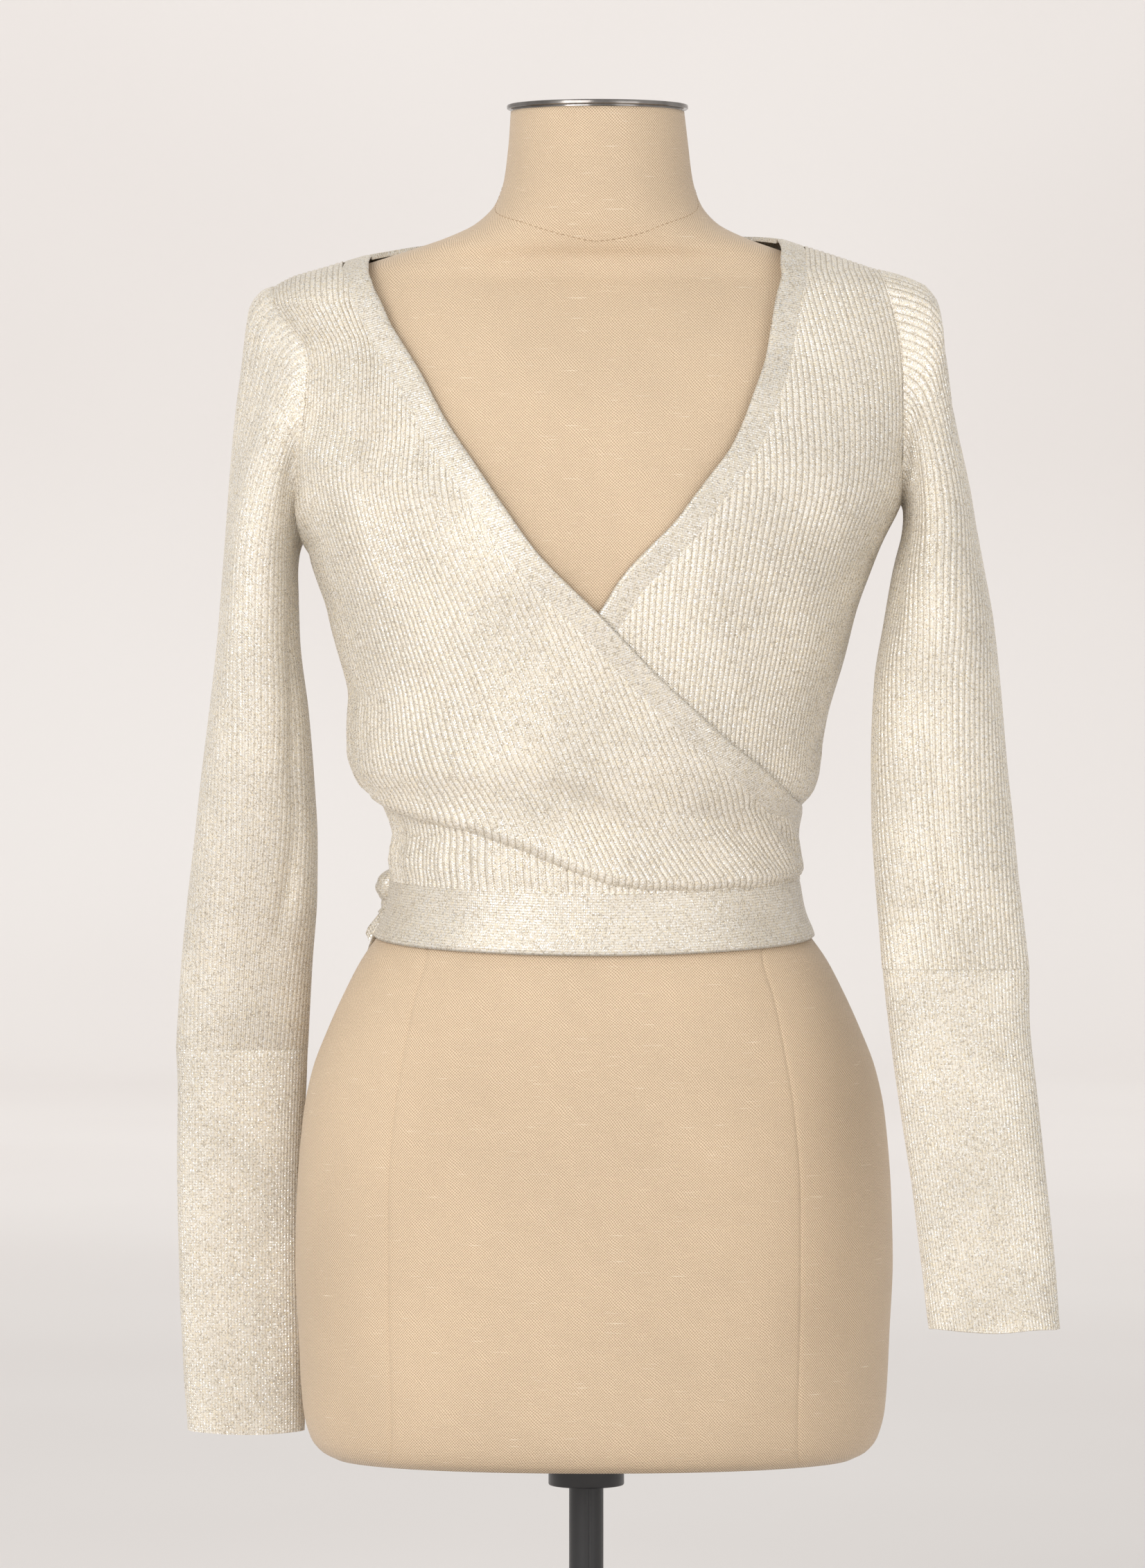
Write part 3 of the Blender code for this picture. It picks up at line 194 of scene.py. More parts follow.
# How far each sleeve's head stands out past its plain curve at the shoulder, by height
RIGHT_HEAD_PUFF = ((0, 628, 639, 651, 660, 666, 671, 677, 679.5), (0, 0, 0.6, 2.0, 3.4, 4.8, 5.2, 4.0, 0))
LEFT_HEAD_PUFF = ((0, 541, 561, 597, 617, 627, 639, 651, 660, 666, 671, 679, 683, 686, 688.5),
                  (0, 0, 1.0, 1.4, 2.6, 4.8, 7.6, 10.4, 14, 16.6, 18, 17, 12, 6, 0))
HEAD_START = 0.45
HEAD_END = 1.15

# The knit at its real scale: ribs in each piece and columns of points in each rib
RIB_PITCH = 3.3
SEED_HEIGHT = 455.0
SLEEVE_RIBS = 72
CUFF_RIBS = 92
RIB_COLUMNS = 5
CUFF_COLUMNS = 4
COURSE = 1.5
FLAT_STITCH = 1.3
LEVELS = np.concatenate([np.arange(340, 420, 3.0), np.arange(420, 640, 4.4), np.arange(640, 712, 2.0)])
LEVEL_MARGIN = 0.5
TOP_SHARES = (0.45, 0.78, 0.94)
GIRTH = 385.0
SLEEVE_GIRTH = 225.0
FLOW_FOOT = 328.0
HEAD_ROWS = 54
ROW_STEP = 4.4
SMALL_TURN = 0.002
SMALL_HEIGHT = 0.5

# How the ribs spread above MIX_HEIGHT, over FAN_WIDTH from the armhole. The under front's lean in to
# the neck there, most of all midway
MIX_HEIGHT = 600.0
SHOULDER_STEP = 0.25
FAN_WIDTH = 80.0
NECK_LEAN = 10.0
NECK_LEAN_WIDTH = 75.0

# Where the top front folds down over itself above the waistband, as seen from the front, and how
# far it stands out there, by turn
FOLD_LINE = table(
    EDGE, (-124, 391), (-119, 385), (-103, 378), (-64, 368.5), (-37, 358), (-11, 346.5), (8, 339.5),
    (30, 335.5), (60, 334.5), (90, 336.5), (110, 340))
FOLD_DEPTH = ((0, 0.04, 0.12, 0.35, 0.5, 0.62, 0.85, 0.97, 1.05),
              (0, 3.2, 5.2, 5.0, 4.4, 3.8, 3.6, 2.4, 0))

# How much the top front's ribs lean to the viewer's right on their way down, by turn
RIB_LEAN = ((0, 0.12, 0.22, 0.32, 0.42, 0.52, 0.62, 0.72, 0.82, 0.90, 1.0, 1.1),
            (0, 0.01, 0.08, 0.27, 0.40, 0.46, 0.52, 0.52, 0.42, 0.22, 0.10, 0.08))

# The creases of the torso's cloth and of the sleeves
FRONT_CREASES = crease_rows(
    (0.12, 606, 0.34, 578, 13, -2.3, -4), (0.11, 588, 0.33, 556, 14, 1.3, -4),
    (0.012, 540, 0.085, 572, 3.6, -3, 3), (0.02, 530, 0.13, 556, 5, 1.8, 4),
    (0.02, 520, 0.15, 534, 5, -1.6, 3), (0.02, 498, 0.16, 470, 9, -0.9, 5),
    (0.3, 500, 0.52, 452, 15, -0.9, 6), (0.26, 470, 0.5, 416, 13, 0.8, -6),
    (0.05, 446, 0.24, 418, 9, -1, 5), (0.03, 412, 0.2, 398, 7, 1.3, -3), (0.36, 400, 0.6, 356, 7, -1.3, 5),
    (0.44, 402, 0.66, 352, 6, 1.1, 4), (0.56, 372, 0.74, 338, 4, -1, 3), (0.62, 374, 0.8, 339, 4, 1.2, 4),
    (0.67, 378, 0.86, 341, 3.4, -1.5, 4), (0.72, 382, 0.9, 344, 3.6, 1.8, 4),
    (0.76, 384, 0.93, 347, 3, -2.1, 3), (0.8, 384, 0.955, 351, 2.8, 1.4, 3),
    (0.84, 382, 0.975, 356, 2.6, -1.2, 2), (0.985, 553, 0.9, 588, 3.8, -2.6, -3),
    (0.98, 543, 0.86, 566, 5.5, 1.5, -3), (0.97, 520, 0.84, 500, 8, -1, -5),
    (0.985, 428, 0.88, 408, 5, -1.5, 2), (0.985, 412, 0.9, 396, 4, 1, 2),
    (0.07, 340, 0.085, 368, 3.2, 1, 1), (0.105, 338, 0.112, 360, 3, -0.9, 1),
    (0.14, 338, 0.15, 366, 3.4, 1, -1), (0.185, 337, 0.19, 356, 3, -0.8, 1),
    (0.225, 336, 0.235, 362, 3.6, 0.9, 1), (0.275, 335, 0.28, 352, 3, -0.8, -1),
    (0.32, 334, 0.332, 358, 3.4, 0.8, 1), (0.385, 333, 0.392, 350, 3.2, 0.7, 1))
BACK_CREASES = crease_rows(
    (1.01, 546, 1.1, 584, 5.5, -2, -3), (1.03, 540, 1.16, 500, 7.5, -1.4, -5),
    (1.02, 520, 1.13, 462, 8, 1.1, -5), (1.99, 536, 1.9, 574, 5.5, -2, 3),
    (1.97, 530, 1.84, 494, 7.5, -1.4, 5), (1.98, 512, 1.86, 455, 7, 1.1, 4),
    (1.04, 396, 1.44, 378, 6.5, -2.4, -5), (1.05, 410, 1.4, 392, 8, 1.6, -5),
    (1.96, 400, 1.6, 380, 6, -2.2, 6), (1.95, 414, 1.66, 396, 8, 1.4, 6),
    (1.2, 370, 1.74, 362, 5, -1.5, 4), (1.3, 420, 1.7, 412, 11, 1.2, -7),
    (1.26, 450, 1.58, 436, 10, -1, -7), (1.4, 560, 1.44, 462, 16, 0.9, 8),
    (1.62, 610, 1.58, 480, 17, -0.9, -8), (1.18, 640, 1.3, 560, 16, -0.8, 6),
    (1.12, 340, 1.13, 362, 3.4, 0.9, 1), (1.22, 340, 1.215, 358, 3.2, -0.8, 1),
    (1.33, 340, 1.34, 366, 3.8, 0.9, -1), (1.47, 340, 1.465, 360, 3.4, -0.8, 1),
    (1.58, 340, 1.59, 364, 3.8, 0.9, 1), (1.71, 340, 1.7, 358, 3.2, -0.8, 1),
    (1.83, 340, 1.84, 364, 3.6, 0.9, 1))
RIGHT_SLEEVE_CREASES = crease_rows(
    (0.12, 500, 0.14, 390, 6, -2.4, 3), (0.15, 405, 0.17, 296, 6.5, -2.2, -4),
    (0.2, 470, 0.23, 330, 10, 1.6, 5), (0.3, 640, 0.33, 520, 13, 1, -5),
    (0.88, 480, 0.84, 360, 8, -1.6, 4), (0.72, 600, 0.7, 440, 13, 1.1, -6),
    (0.62, 410, 0.66, 280, 9, -1.2, 5))
LEFT_SLEEVE_CREASES = crease_rows(
    (0.17, 640, 0.24, 480, 8, 1.8, 4), (0.1, 560, 0.13, 478, 7, -2, -3),
    (0.22, 420, 0.21, 300, 6, -1.9, 3), (0.3, 470, 0.29, 330, 10, 1, -4),
    (0.9, 520, 0.86, 380, 8, -1.5, 4), (0.74, 600, 0.7, 450, 12, 1.1, 6),
    (0.6, 430, 0.64, 300, 9, -1.2, -5))

# How far from a panel's edges its creases and ribs reach their full height
SIDE_FADE = 11.0
SIDE_FADE_ROW = 20
UPPER_FADE = 14.0
WAIST_FADE = 5.0
RIB_FADE = 7.0

# How creases run: the girth of their piece, whether it closes on itself, how far they fade past
# their ends, how uneven they are, and how their half width grows on the way
Manner = namedtuple("Manner", "girth closed past fade_in fade_out sway sway_rate sway_shift narrow widening")
TORSO_MANNER = Manner(GIRTH, False, 0.12, 0.3, 0.42, 0.25, 9.0, 3.1, 0.8, 0.5)
SLEEVE_MANNER = Manner(SLEEVE_GIRTH, True, 0.15, 0.35, 0.45, 0.22, 8.0, 2.3, 1.0, 0.0)

# What differs between the wearer's right and left side
Side = namedtuple("Side", "sign ridge edge edge_end armhole sleeve cuff puff folds rise cuff_rise lift")

# The form's long seams on its front, from the middle, and the columns of points between them
FORM_SEAM = table(
    EDGE, (117, 0), (116.5, 20), (118, 108), (118, 156), (114.5, 205), (108, 245), (103, 270), (97, 290),
    (95.5, 300), (84, 345), (84, 400), (88, 450), (92, 530), (88, 600), (70, 694), (30, 740), (26, 781))
SEAM_SPREAD = (60, 46, 24, 24, 46)
SEAM_OFFSETS = np.array([-2.6, -1.3, -0.55, 0, 0.55, 1.3, 2.6])
SEAM_DEPTHS = np.array([0, 0.10, 0.45, 0.7, 0.45, 0.10, 0])
SEAM_TOP = 372.0
SEAM_FADE = 45.0

# The stitched line at the base of the form's neck, by turn
NECK_SEAM = ((0, 0.05, 0.30, 0.42, 0.5, 0.6, 0.68, 0.89, 1.0, 1.5, 2.0),
             (738, 728, 713.6, 706.8, 703.5, 706.8, 712.4, 725, 736, 744, 738))
STITCH_LENGTH = 2.1
STITCH_STEP = 3.3
STITCH_HALF_WIDTH = 0.26
STITCH_HALF_HEIGHT = 0.16
NECK_MIDDLE = (2.0, 6.0, 0.0)
STITCH_TILT = 22.0

# The stand: plate, pole with a groove down its front, collar under the form, and the neck's cap
GROOVE_ANGLE = 1.56 * math.pi
GROOVE_HALF_ANGLE = 0.09
POLE_GROOVE = 0.7
CAP_RADIUS = 52.5
COLLAR_RADIUS = 22.0
POLE_RADIUS = 10.0
BASE_RADIUS = 150.0
CAP_PLACE = (2, 6, STAND_HEIGHT + FORM_HEIGHT + 0.3)
COLLAR_PLACE = (-4.5, 0, STAND_HEIGHT - 0.3)
POLE_PLACE = (-4.5, 0, 12.3)

# Colours of the yarn, with its painted glints, its dark painted reflections and the painted shade in its
# grooves, and of the linen and its stitches
KNIT_BASE = (0.80, 0.73, 0.62)
# The next three colours are painted sparkle: white and gold painted glints and dark painted reflections,
# speckled over the yarn
KNIT_PAINTED_GLINT = (0.98, 0.965, 0.93)
KNIT_GOLD_PAINTED_GLINT = (0.88, 0.77, 0.56)
KNIT_DARK_PAINTED_REFLECTION = (0.40, 0.34, 0.26)
# Painted shade for the grooves between ribs and the lines between courses, mixed in by GROOVE_SHADE or
# SOFT_GROOVE_SHADE
KNIT_GROOVE_PAINTED_SHADE = (0.36, 0.29, 0.19)
GROOVE_SHADE = 0.55
# Fainter painted groove shade for the brightly lit right sleeve and cuff
SOFT_GROOVE_SHADE = 0.22
LINEN_BRIGHT = (0.78, 0.615, 0.435)
LINEN_DARK = (0.42, 0.30, 0.19)
LINEN_SLUB = (0.93, 0.82, 0.66)
WEAVE_PITCH = 0.83

# The camera, the world's light and the backdrop, in metres
CAMERA_PLACE = (-0.0125, -4.5, 0.672)
CAMERA_TILT = 1.03
CAMERA_LENS = 178.08
SENSOR_WIDTH = 36.0
WORLD_COLOUR = (1.0, 0.985, 0.965, 1)
WORLD_STRENGTH = 0.74
WALL_FOOT = 7.5
WALL_HEIGHT = 9.0
BACKDROP_REACH = 10.0
FLOOR_DROP = 0.0004

# Each sheet's cut before it was sewn: width, length and area in metres
Cut = namedtuple("Cut", "width length area held rests_on")
CUTS = {
    "front_right": Cut(0.320, 0.425, 0.0750, "draped", ("form", "front_left")),
    "front_left": Cut(0.340, 0.422, 0.0715, "draped", ("form",)),
    "back": Cut(0.376, 0.418, 0.1530, "draped", ("form",)),
    "sleeve_right": Cut(0.300, 0.454, 0.0955, "hung", ("front_right", "back")),
    "sleeve_left": Cut(0.290, 0.446, 0.0895, "hung", ("front_left", "back")),
    "cuff_right": Cut(0.190, 0.227, 0.0415, "hung", ("sleeve_right",)),
    "cuff_left": Cut(0.190, 0.218, 0.0400, "hung", ("sleeve_left",)),
    "neckband_right": Cut(0.015, 0.584, None, "draped", ("form", "front_left")),
    "neckband_left": Cut(0.015, 0.516, None, "draped", ("form",)),
    "neckband_back": Cut(0.015, 0.288, None, "draped", ("form",)),
    "waistband_right": Cut(0.035, 0.394, None, "stretched", ("waistband_left", "waistband_back")),
    "waistband_left": Cut(0.036, 0.339, None, "stretched", ("form",)),
    "waistband_back": Cut(0.034, 0.340, None, "stretched", ("form",)),
    "tie_right": Cut(0.031, 0.277, None, "stretched", ("waistband_back",)),
    "tie_left": Cut(0.022, 0.022, None, "stretched", ("waistband_back",)),
    "tie_loop": Cut(0.024, 0.024, None, "folded", ("waistband_back",)),
    "tie_end_right": Cut(0.016, 0.096, None, "hung", ("tie_right",)),
    "tie_end_left": Cut(0.016, 0.096, None, "hung", ("waistband_back",)),
}


def hermite(t, start, start_way, end, end_way):
    """A cubic curve from start to end, at a share t of the way, with its ways at both ends."""
    return (start * (1 + 2 * t) * (1 - t) ** 2 + start_way * t * (1 - t) ** 2
            + end * t * t * (3 - 2 * t) + end_way * t * t * (t - 1))


def smooth(places, values, at):
    """A curve through the values that has no bump which the values don't have."""
    places = np.asarray(places, float)
    values = np.asarray(values, float)
    steps = np.diff(places)
    slopes = np.diff(values) / steps
    before, after = slopes[:-1], slopes[1:]
    same_way = before * after > 0
    weight_a = 2 * steps[1:] + steps[:-1]
    weight_b = steps[1:] + 2 * steps[:-1]
    parts = weight_a / np.where(same_way, before, 1) + weight_b / np.where(same_way, after, 1)
    tangents = slopes[np.append(0, np.arange(len(slopes)))]
    tangents[1:-1] = np.where(same_way, (weight_a + weight_b) / parts, 0)
    at = np.clip(np.asarray(at, float), places[0], places[-1])
    i = np.clip(np.searchsorted(places, at, side="right") - 1, 0, len(steps) - 1)
    share = (at - places[i]) / steps[i]
    return hermite(share, values[i], tangents[i] * steps[i], values[i + 1], tangents[i + 1] * steps[i])


def ease(share):
    """A soft step from 0 to 1."""
    share = np.clip(share, 0, 1)
    return share * share * (3 - 2 * share)


def run_lengths(points):
    """The length up to each point of a path, or of each column of a grid."""
    steps = np.linalg.norm(np.diff(points, axis=0), axis=-1)
    return np.concatenate([0 * steps[:1], np.cumsum(steps, axis=0)])


def unit(ways):
    """Ways made 1 long."""
    return ways / np.linalg.norm(ways, axis=-1, keepdims=True)


def form_size(height):
    """The form's section at a height: half width, front, back, centre x and centre y."""
    return [smooth(FORM_ROWS.height, values, height) for values in FORM_ROWS[1:]]


def cloth_table():
    """The garment's sections at close heights, softened between the waist and the shoulders."""
    at = np.arange(200, 718.1, 0.5)
    soft = ease((at - SOFT_FROM) / 30) * ease((SOFT_TO - at) / 25)
    kernel = np.exp(-(np.arange(-SOFT_REACH, SOFT_REACH + 1) / SOFT_WIDTH) ** 2)
    sections = []
    for values in CLOTH_ROWS[1:]:
        sharp = smooth(CLOTH_ROWS.height, values, at)
        padded = np.pad(sharp, SOFT_REACH, mode="edge")
        softened = np.convolve(padded, kernel / kernel.sum(), mode="valid")
        sections.append(sharp * (1 - soft) + softened * soft)
    return at, sections + [form_size(at)[4]]


def cloth_size(height):
    """The garment's section at a height: left, right, front and back reach and centre y."""
    at, sections = CLOTH_TABLE
    return [np.interp(height, at, values) for values in sections]


def ring_point(left, right, front, back, centre_y, turn, power=SECTION_POWER):
    """A point on a section at a turn."""
    angle = math.pi * (1 + np.asarray(turn, float))
    across, along = np.cos(angle), np.sin(angle)
    wide = np.where(across < 0, left, right)
    deep = np.where(along < 0, front, back)
    way_x, way_y = np.sqrt(wide) * across, np.sqrt(deep) * along
    reach = (np.abs(way_x / wide) ** power + np.abs(way_y / deep) ** power) ** (-1 / power)
    return reach * way_x, reach * way_y + centre_y


def half_turn_at(x, wide, deep):
    """How far round a half section the point at x lies, from the viewer's right side."""
    y = deep * (1 - np.clip(np.abs(x) / wide, 0, 1) ** SECTION_POWER) ** (1 / SECTION_POWER)
    return np.arctan2(y / np.sqrt(deep), x / np.sqrt(wide)) / math.pi


def turn_at(x, height, front=True):
    """Where on the garment's section a point seen at x lies, on its front or its back half."""
    left, right, forward, backward, _ = cloth_size(height)
    x = np.asarray(x, float)
    half_turn = half_turn_at(x, np.where(x < 0, left, right), forward if front else backward)
    return 1 - half_turn if front else 1 + half_turn


def fold_height(turn):
    """Height of the top front's fold at a turn."""
    return np.interp(turn, *FOLD_TABLE)


def bulge(turn, height):
    """How far the top front stands out over its fold, and how far it hangs down there."""
    strength = np.interp(turn, *FOLD_DEPTH)
    above = np.clip(height - fold_height(turn), 0, None)
    out = strength * ease(above / 3.6) * np.exp(-np.clip(above - 4, 0, None) / 24.0)
    down = 0.62 * strength * ease(above / 3.2) * np.exp(-above / 9.0)
    return out, down


def creases(place, height, rows, manner):
    """How far creases move the points of a piece of cloth out or in, in millimetres."""
    moved = np.zeros(np.broadcast(place, height).shape)
    for row in rows:
        run = np.array([(row.place_b - row.place_a) * manner.girth, row.height_b - row.height_a])
        length = float(np.hypot(*run))
        apart = place - row.place_a
        across = (np.mod(apart + 0.5, 1) - 0.5 if manner.closed else apart) * manner.girth
        up = height - row.height_a
        along = (across * run[0] + up * run[1]) / length ** 2
        off = (across * -run[1] + up * run[0]) / length - row.bend * 4 * along * (1 - along)
        fade = ease((along + manner.past) / manner.fade_in)
        fade = fade * ease((1 + manner.past - along) / manner.fade_out)
        uneven = 1 + manner.sway * np.sin(along * manner.sway_rate + row.width * manner.sway_shift)
        width = row.width * (manner.narrow + manner.widening * along)
        moved = moved + row.rise * fade * uneven * np.exp(-(off / width) ** 2)
    return moved


def cloth_base(turn, height, puff=0.0):
    """The inner face of the garment's first layer, puffed out where the top front bulges."""
    left, right, front, back, centre_y = cloth_size(height)
    x, y = ring_point(left, right, front, back, centre_y, turn)
    point = np.stack(np.broadcast_arrays(x, y, height), axis=-1).astype(float)
    if np.any(puff):
        way = unit(point[..., :2] - np.stack([0 * x, 0 * x + centre_y], axis=-1))
        out, down = bulge(turn, height)
        point[..., :2] += way * (puff * out)[..., None]
        point[..., 2] -= puff * down
    return point


def cloth_slopes(turn, height, puff=0.0):
    """How far the cloth runs over a small stretch of turn, and over one of height."""
    by_turn = cloth_base(turn + SMALL_TURN, height, puff) - cloth_base(turn - SMALL_TURN, height, puff)
    by_height = (cloth_base(turn, height + SMALL_HEIGHT, puff)
                 - cloth_base(turn, height - SMALL_HEIGHT, puff))
    return by_turn, by_height


def cloth_point(turn, height, lift=0.0, puff=0.0):
    """A point at a distance outside the garment's first layer, and the way out there."""
    turn, height = np.broadcast_arrays(np.asarray(turn, float), np.asarray(height, float))
    out = unit(np.cross(*cloth_slopes(turn, height, puff)))
    return cloth_base(turn, height, puff) + out * np.asarray(lift)[..., None], out


def resample(points, fractions):
    """Points at fractions of a path's length, with what else their rows hold."""
    lengths = run_lengths(points[:, :3])
    wanted = np.asarray(fractions, float) * lengths[-1]
    return np.stack([np.interp(wanted, lengths, values) for values in points.T], axis=1)


def front_bow(turn):
    """1 in front, 0 at the sides and behind."""
    return np.clip(np.sin(math.pi * np.asarray(turn)), 0, 1)


def band_top(turn):
    """Height of the waistband's top edge."""
    return BAND_TOP_SIDE - BAND_TOP_DROP * front_bow(turn) ** 1.5


def band_bottom(turn):
    """Height of the waistband's lower edge."""
    return BAND_BOTTOM_SIDE - BAND_BOTTOM_DROP * front_bow(turn)


def top_front_lift(turn, height):
    """The top front lies one layer out, but for its shoulder, its side seam and its lower edge."""
    layer = LOWEST_LAYER_STEP
    layer = layer + (LAYER_STEP - LOWEST_LAYER_STEP) * ease((height - band_top(turn) - 1) / 9)
    return layer * ease((turn - 0.012) / 0.05) * ease((600 - height) / 50)


def no_lift(turn, height):
    """The first layer."""
    return 0 * turn + 0 * height


CLOTH_TABLE = cloth_table()
FOLD_TABLE = (turn_at(FOLD_LINE.x, FOLD_LINE.height), FOLD_LINE.height)
RIGHT = Side(-1, (0.0004, 697.5), RIGHT_FRONT_EDGE, (1.03, WRAP_TURN), RIGHT_ARMHOLE, RIGHT_SLEEVE,
             RIGHT_CUFF, RIGHT_HEAD_PUFF, RIGHT_SLEEVE_CREASES, 0.42, 0.34, top_front_lift)
LEFT = Side(1, (0.9996, 707.0), LEFT_FRONT_EDGE, (0.115, 0.085), LEFT_ARMHOLE, LEFT_SLEEVE,
            LEFT_CUFF, LEFT_HEAD_PUFF, LEFT_SLEEVE_CREASES, 0.62, 0.45, no_lift)


def edge_route(side):
    """The free edge of a front as turns and heights, down to the waistband."""
    turns = np.concatenate([[side.ridge[0]], turn_at(side.edge.x, side.edge.height), side.edge_end])
    heights = np.concatenate([[side.ridge[1]], side.edge.height, EDGE_END_HEIGHTS])
    lengths = run_lengths(cloth_point(turns, heights)[0])
    at = np.linspace(0, lengths[-1], 400)
    return np.stack([smooth(lengths, turns, at), smooth(lengths, heights, at)], axis=1)


def beside(route, distance):
    """A route moved sideways over the cloth, to the left of its own direction."""
    turns, heights = route.T
    points, out = cloth_point(turns, heights)
    sideways = np.cross(out, unit(np.gradient(points, axis=0))) * distance
    by_turn, by_height = cloth_slopes(turns, heights)
    by_turn, by_height = by_turn / (2 * SMALL_TURN), by_height / (2 * SMALL_HEIGHT)
    aa, ab, bb, ra, rb = [np.sum(first * second, axis=1) for first, second in (
        (by_turn, by_turn), (by_turn, by_height), (by_height, by_height),
        (by_turn, sideways), (by_height, sideways))]
    det = aa * bb - ab * ab
    return np.stack([turns + (ra * bb - rb * ab) / det, heights + (rb * aa - ra * ab) / det], axis=1)


def back_neck_route():
    """The back neckband's top edge, as turns and heights from the viewer's left to the right."""
    turns, heights = BACK_NECK
    lengths = run_lengths(cloth_point(turns, heights)[0])
    at = np.clip(smooth(lengths, turns, np.linspace(0, lengths[-1], 240)), turns[-1], turns[0])
    return np.stack([at, smooth(turns[::-1], heights[::-1], at)], axis=1)


def armhole_x(side, height):
    """Distance of an armhole's edge from the middle at a height, on the front."""
    return smooth(side.armhole.height, side.armhole.x, height)


def own_turn(side, turn, back=False):
    """A turn counted from the side's own seam."""
    turn = 2 - turn if back else turn
    return turn if side is RIGHT else 1 - turn


def world_turns(turns, side, back):
    """Turns from the side seam as turns round the body."""
    turns = np.clip(turns, RIDGE_GAP_TURN, None)
    turns = turns if side is RIGHT else 1 - turns
    return 2 - turns if back else turns


def armhole_turn(side, height, back=False):
    """How far round from the side line the armhole's edge lies, as part of a turn."""
    low, high = side.armhole.height[[0, -1]]
    inset = own_turn(side, turn_at(side.sign * armhole_x(side, height), height, front=not back), back)
    return np.where((height > low) & (height < high), inset * np.clip((height - low) / 6.0, 0, 1), 0)


def lean_rate(turn, height):
    """How fast a rib of the top front moves round the body on its way down, in turns a millimetre."""
    lean = np.interp(turn, *RIB_LEAN) * ease((612 - height) / 105)
    above = height - fold_height(turn)
    lean = lean * np.where(above > 0, 1 + 0.3 * np.exp(-np.clip(above, 0, None) / 22), 0.12)
    return lean / (math.pi * cloth_size(height)[0] * np.clip(np.sin(math.pi * turn), 0.4, 1))


def no_lean(turn, height):
    """Ribs that go straight down."""
    return 0 * turn


def seeds(route, rate):
    """Places along a route that crosses the ribs, RIB_COLUMNS to each rib."""
    lengths = run_lengths(route * np.array([GIRTH, 1]))
    fine = np.linspace(0, lengths[-1], 1200)
    turns, heights = [np.interp(fine, lengths, values) for values in route.T]
    middle_turn, middle_height = (turns[1:] + turns[:-1]) / 2, (heights[1:] + heights[:-1]) / 2
    lean = rate(middle_turn, middle_height)
    by_turn, _ = cloth_slopes(middle_turn, middle_height)
    around = np.linalg.norm(by_turn, axis=-1) / (2 * SMALL_TURN)
    crossed = np.clip(np.abs(np.diff(turns) + lean * np.diff(heights)), 2e-5, None)
    phase = np.cumsum(crossed * around * np.cos(np.arctan(lean * around)) / RIB_PITCH)
    phase = np.append(0, phase)
    wanted = np.linspace(0, phase[-1], int(round(phase[-1])) * RIB_COLUMNS + 1)
    return np.interp(wanted, phase, turns), np.interp(wanted, phase, heights)


def flow(seed_turns, seed_heights, rate):
    """Carries each rib from its seed down to the waist and up to MIX_HEIGHT, a millimetre at a time."""
    heights = np.arange(FLOW_FOOT, MIX_HEIGHT + 0.5, 1.0)
    turns = np.empty((len(heights), len(seed_turns)))
    now = np.array(seed_turns)
    for i in range(len(heights) - 1, -1, -1):
        step = np.minimum(1.0, seed_heights - heights[i])
        now = np.where(step > 0, now + rate(now, heights[i] + step / 2) * step, now)
        turns[i] = now
    now = np.array(seed_turns)
    for i in range(len(heights)):
        step = np.minimum(1.0, heights[i] - seed_heights)
        now = np.where(step > 0, now - rate(now, heights[i] - step / 2) * step, now)
        turns[i] = np.where(step > 0, now, turns[i])
    return turns.T, heights


def shoulder_path(turns, heights, side, back):
    """Carries a rib on from MIX_HEIGHT to the shoulder's ridge. Its turns count from the side seam."""
    mix_turn = own_turn(side, turns[-1])
    mix_x = float(ring_point(*cloth_size(MIX_HEIGHT), -mix_turn if back else mix_turn)[0])
    above = np.arange(MIX_HEIGHT + SHOULDER_STEP, 720.0, SHOULDER_STEP)
    edge_mix = float(armhole_x(side, MIX_HEIGHT))
    fan = np.clip(1 - (edge_mix - abs(mix_x)) / FAN_WIDTH, 0, 1)
    above_x = mix_x + side.sign * (armhole_x(side, above) - edge_mix) * fan
    if side is LEFT and not back:
        inward = np.sin(math.pi * np.clip((edge_mix - abs(mix_x)) / NECK_LEAN_WIDTH, 0, 1))
        above_x = above_x - side.sign * NECK_LEAN * ease((above - MIX_HEIGHT) / 90) * inward
    upper = own_turn(side, turn_at(above_x, above, front=not back), back)
    over = np.abs(above_x) - cloth_size(above)[0 if side is RIGHT else 1]
    off_body = np.nonzero(over > 0)[0]
    if len(off_body) and off_body[0] > 0:
        last = int(off_body[0])
        ridge = above[last - 1] - SHOULDER_STEP * over[last - 1] / (over[last] - over[last - 1])
        above, upper = np.append(above[:last], ridge), np.append(upper[:last], 0.0)
    return np.concatenate([turns, upper]), np.concatenate([heights, above])


def armhole_path(side, back):
    """Turns and heights of an armhole's edge, from the armpit to the ridge."""
    heights = np.arange(side.armhole.height[0], MIX_HEIGHT + 0.5, 1.0)
    heights[-1] = MIX_HEIGHT
    turns, heights = shoulder_path(armhole_turn(side, heights, back), heights, side, back)
    return world_turns(turns, side, back), heights


def cut_at(turns, heights, room, allowed=True):
    """Ends a rib's path where the room beside it turns negative, and tells whether it does."""
    outside = np.nonzero((room < 0) & allowed)[0]
    if len(outside) == 0:
        return turns, heights, False
    last = max(int(outside[0]), 1)
    share = np.clip(room[last - 1] / (room[last - 1] - room[last]), 0, 1)
    ended = [np.append(way[:last], way[last - 1] + (way[last] - way[last - 1]) * share)
             for way in (turns, heights)]
    return *ended, True


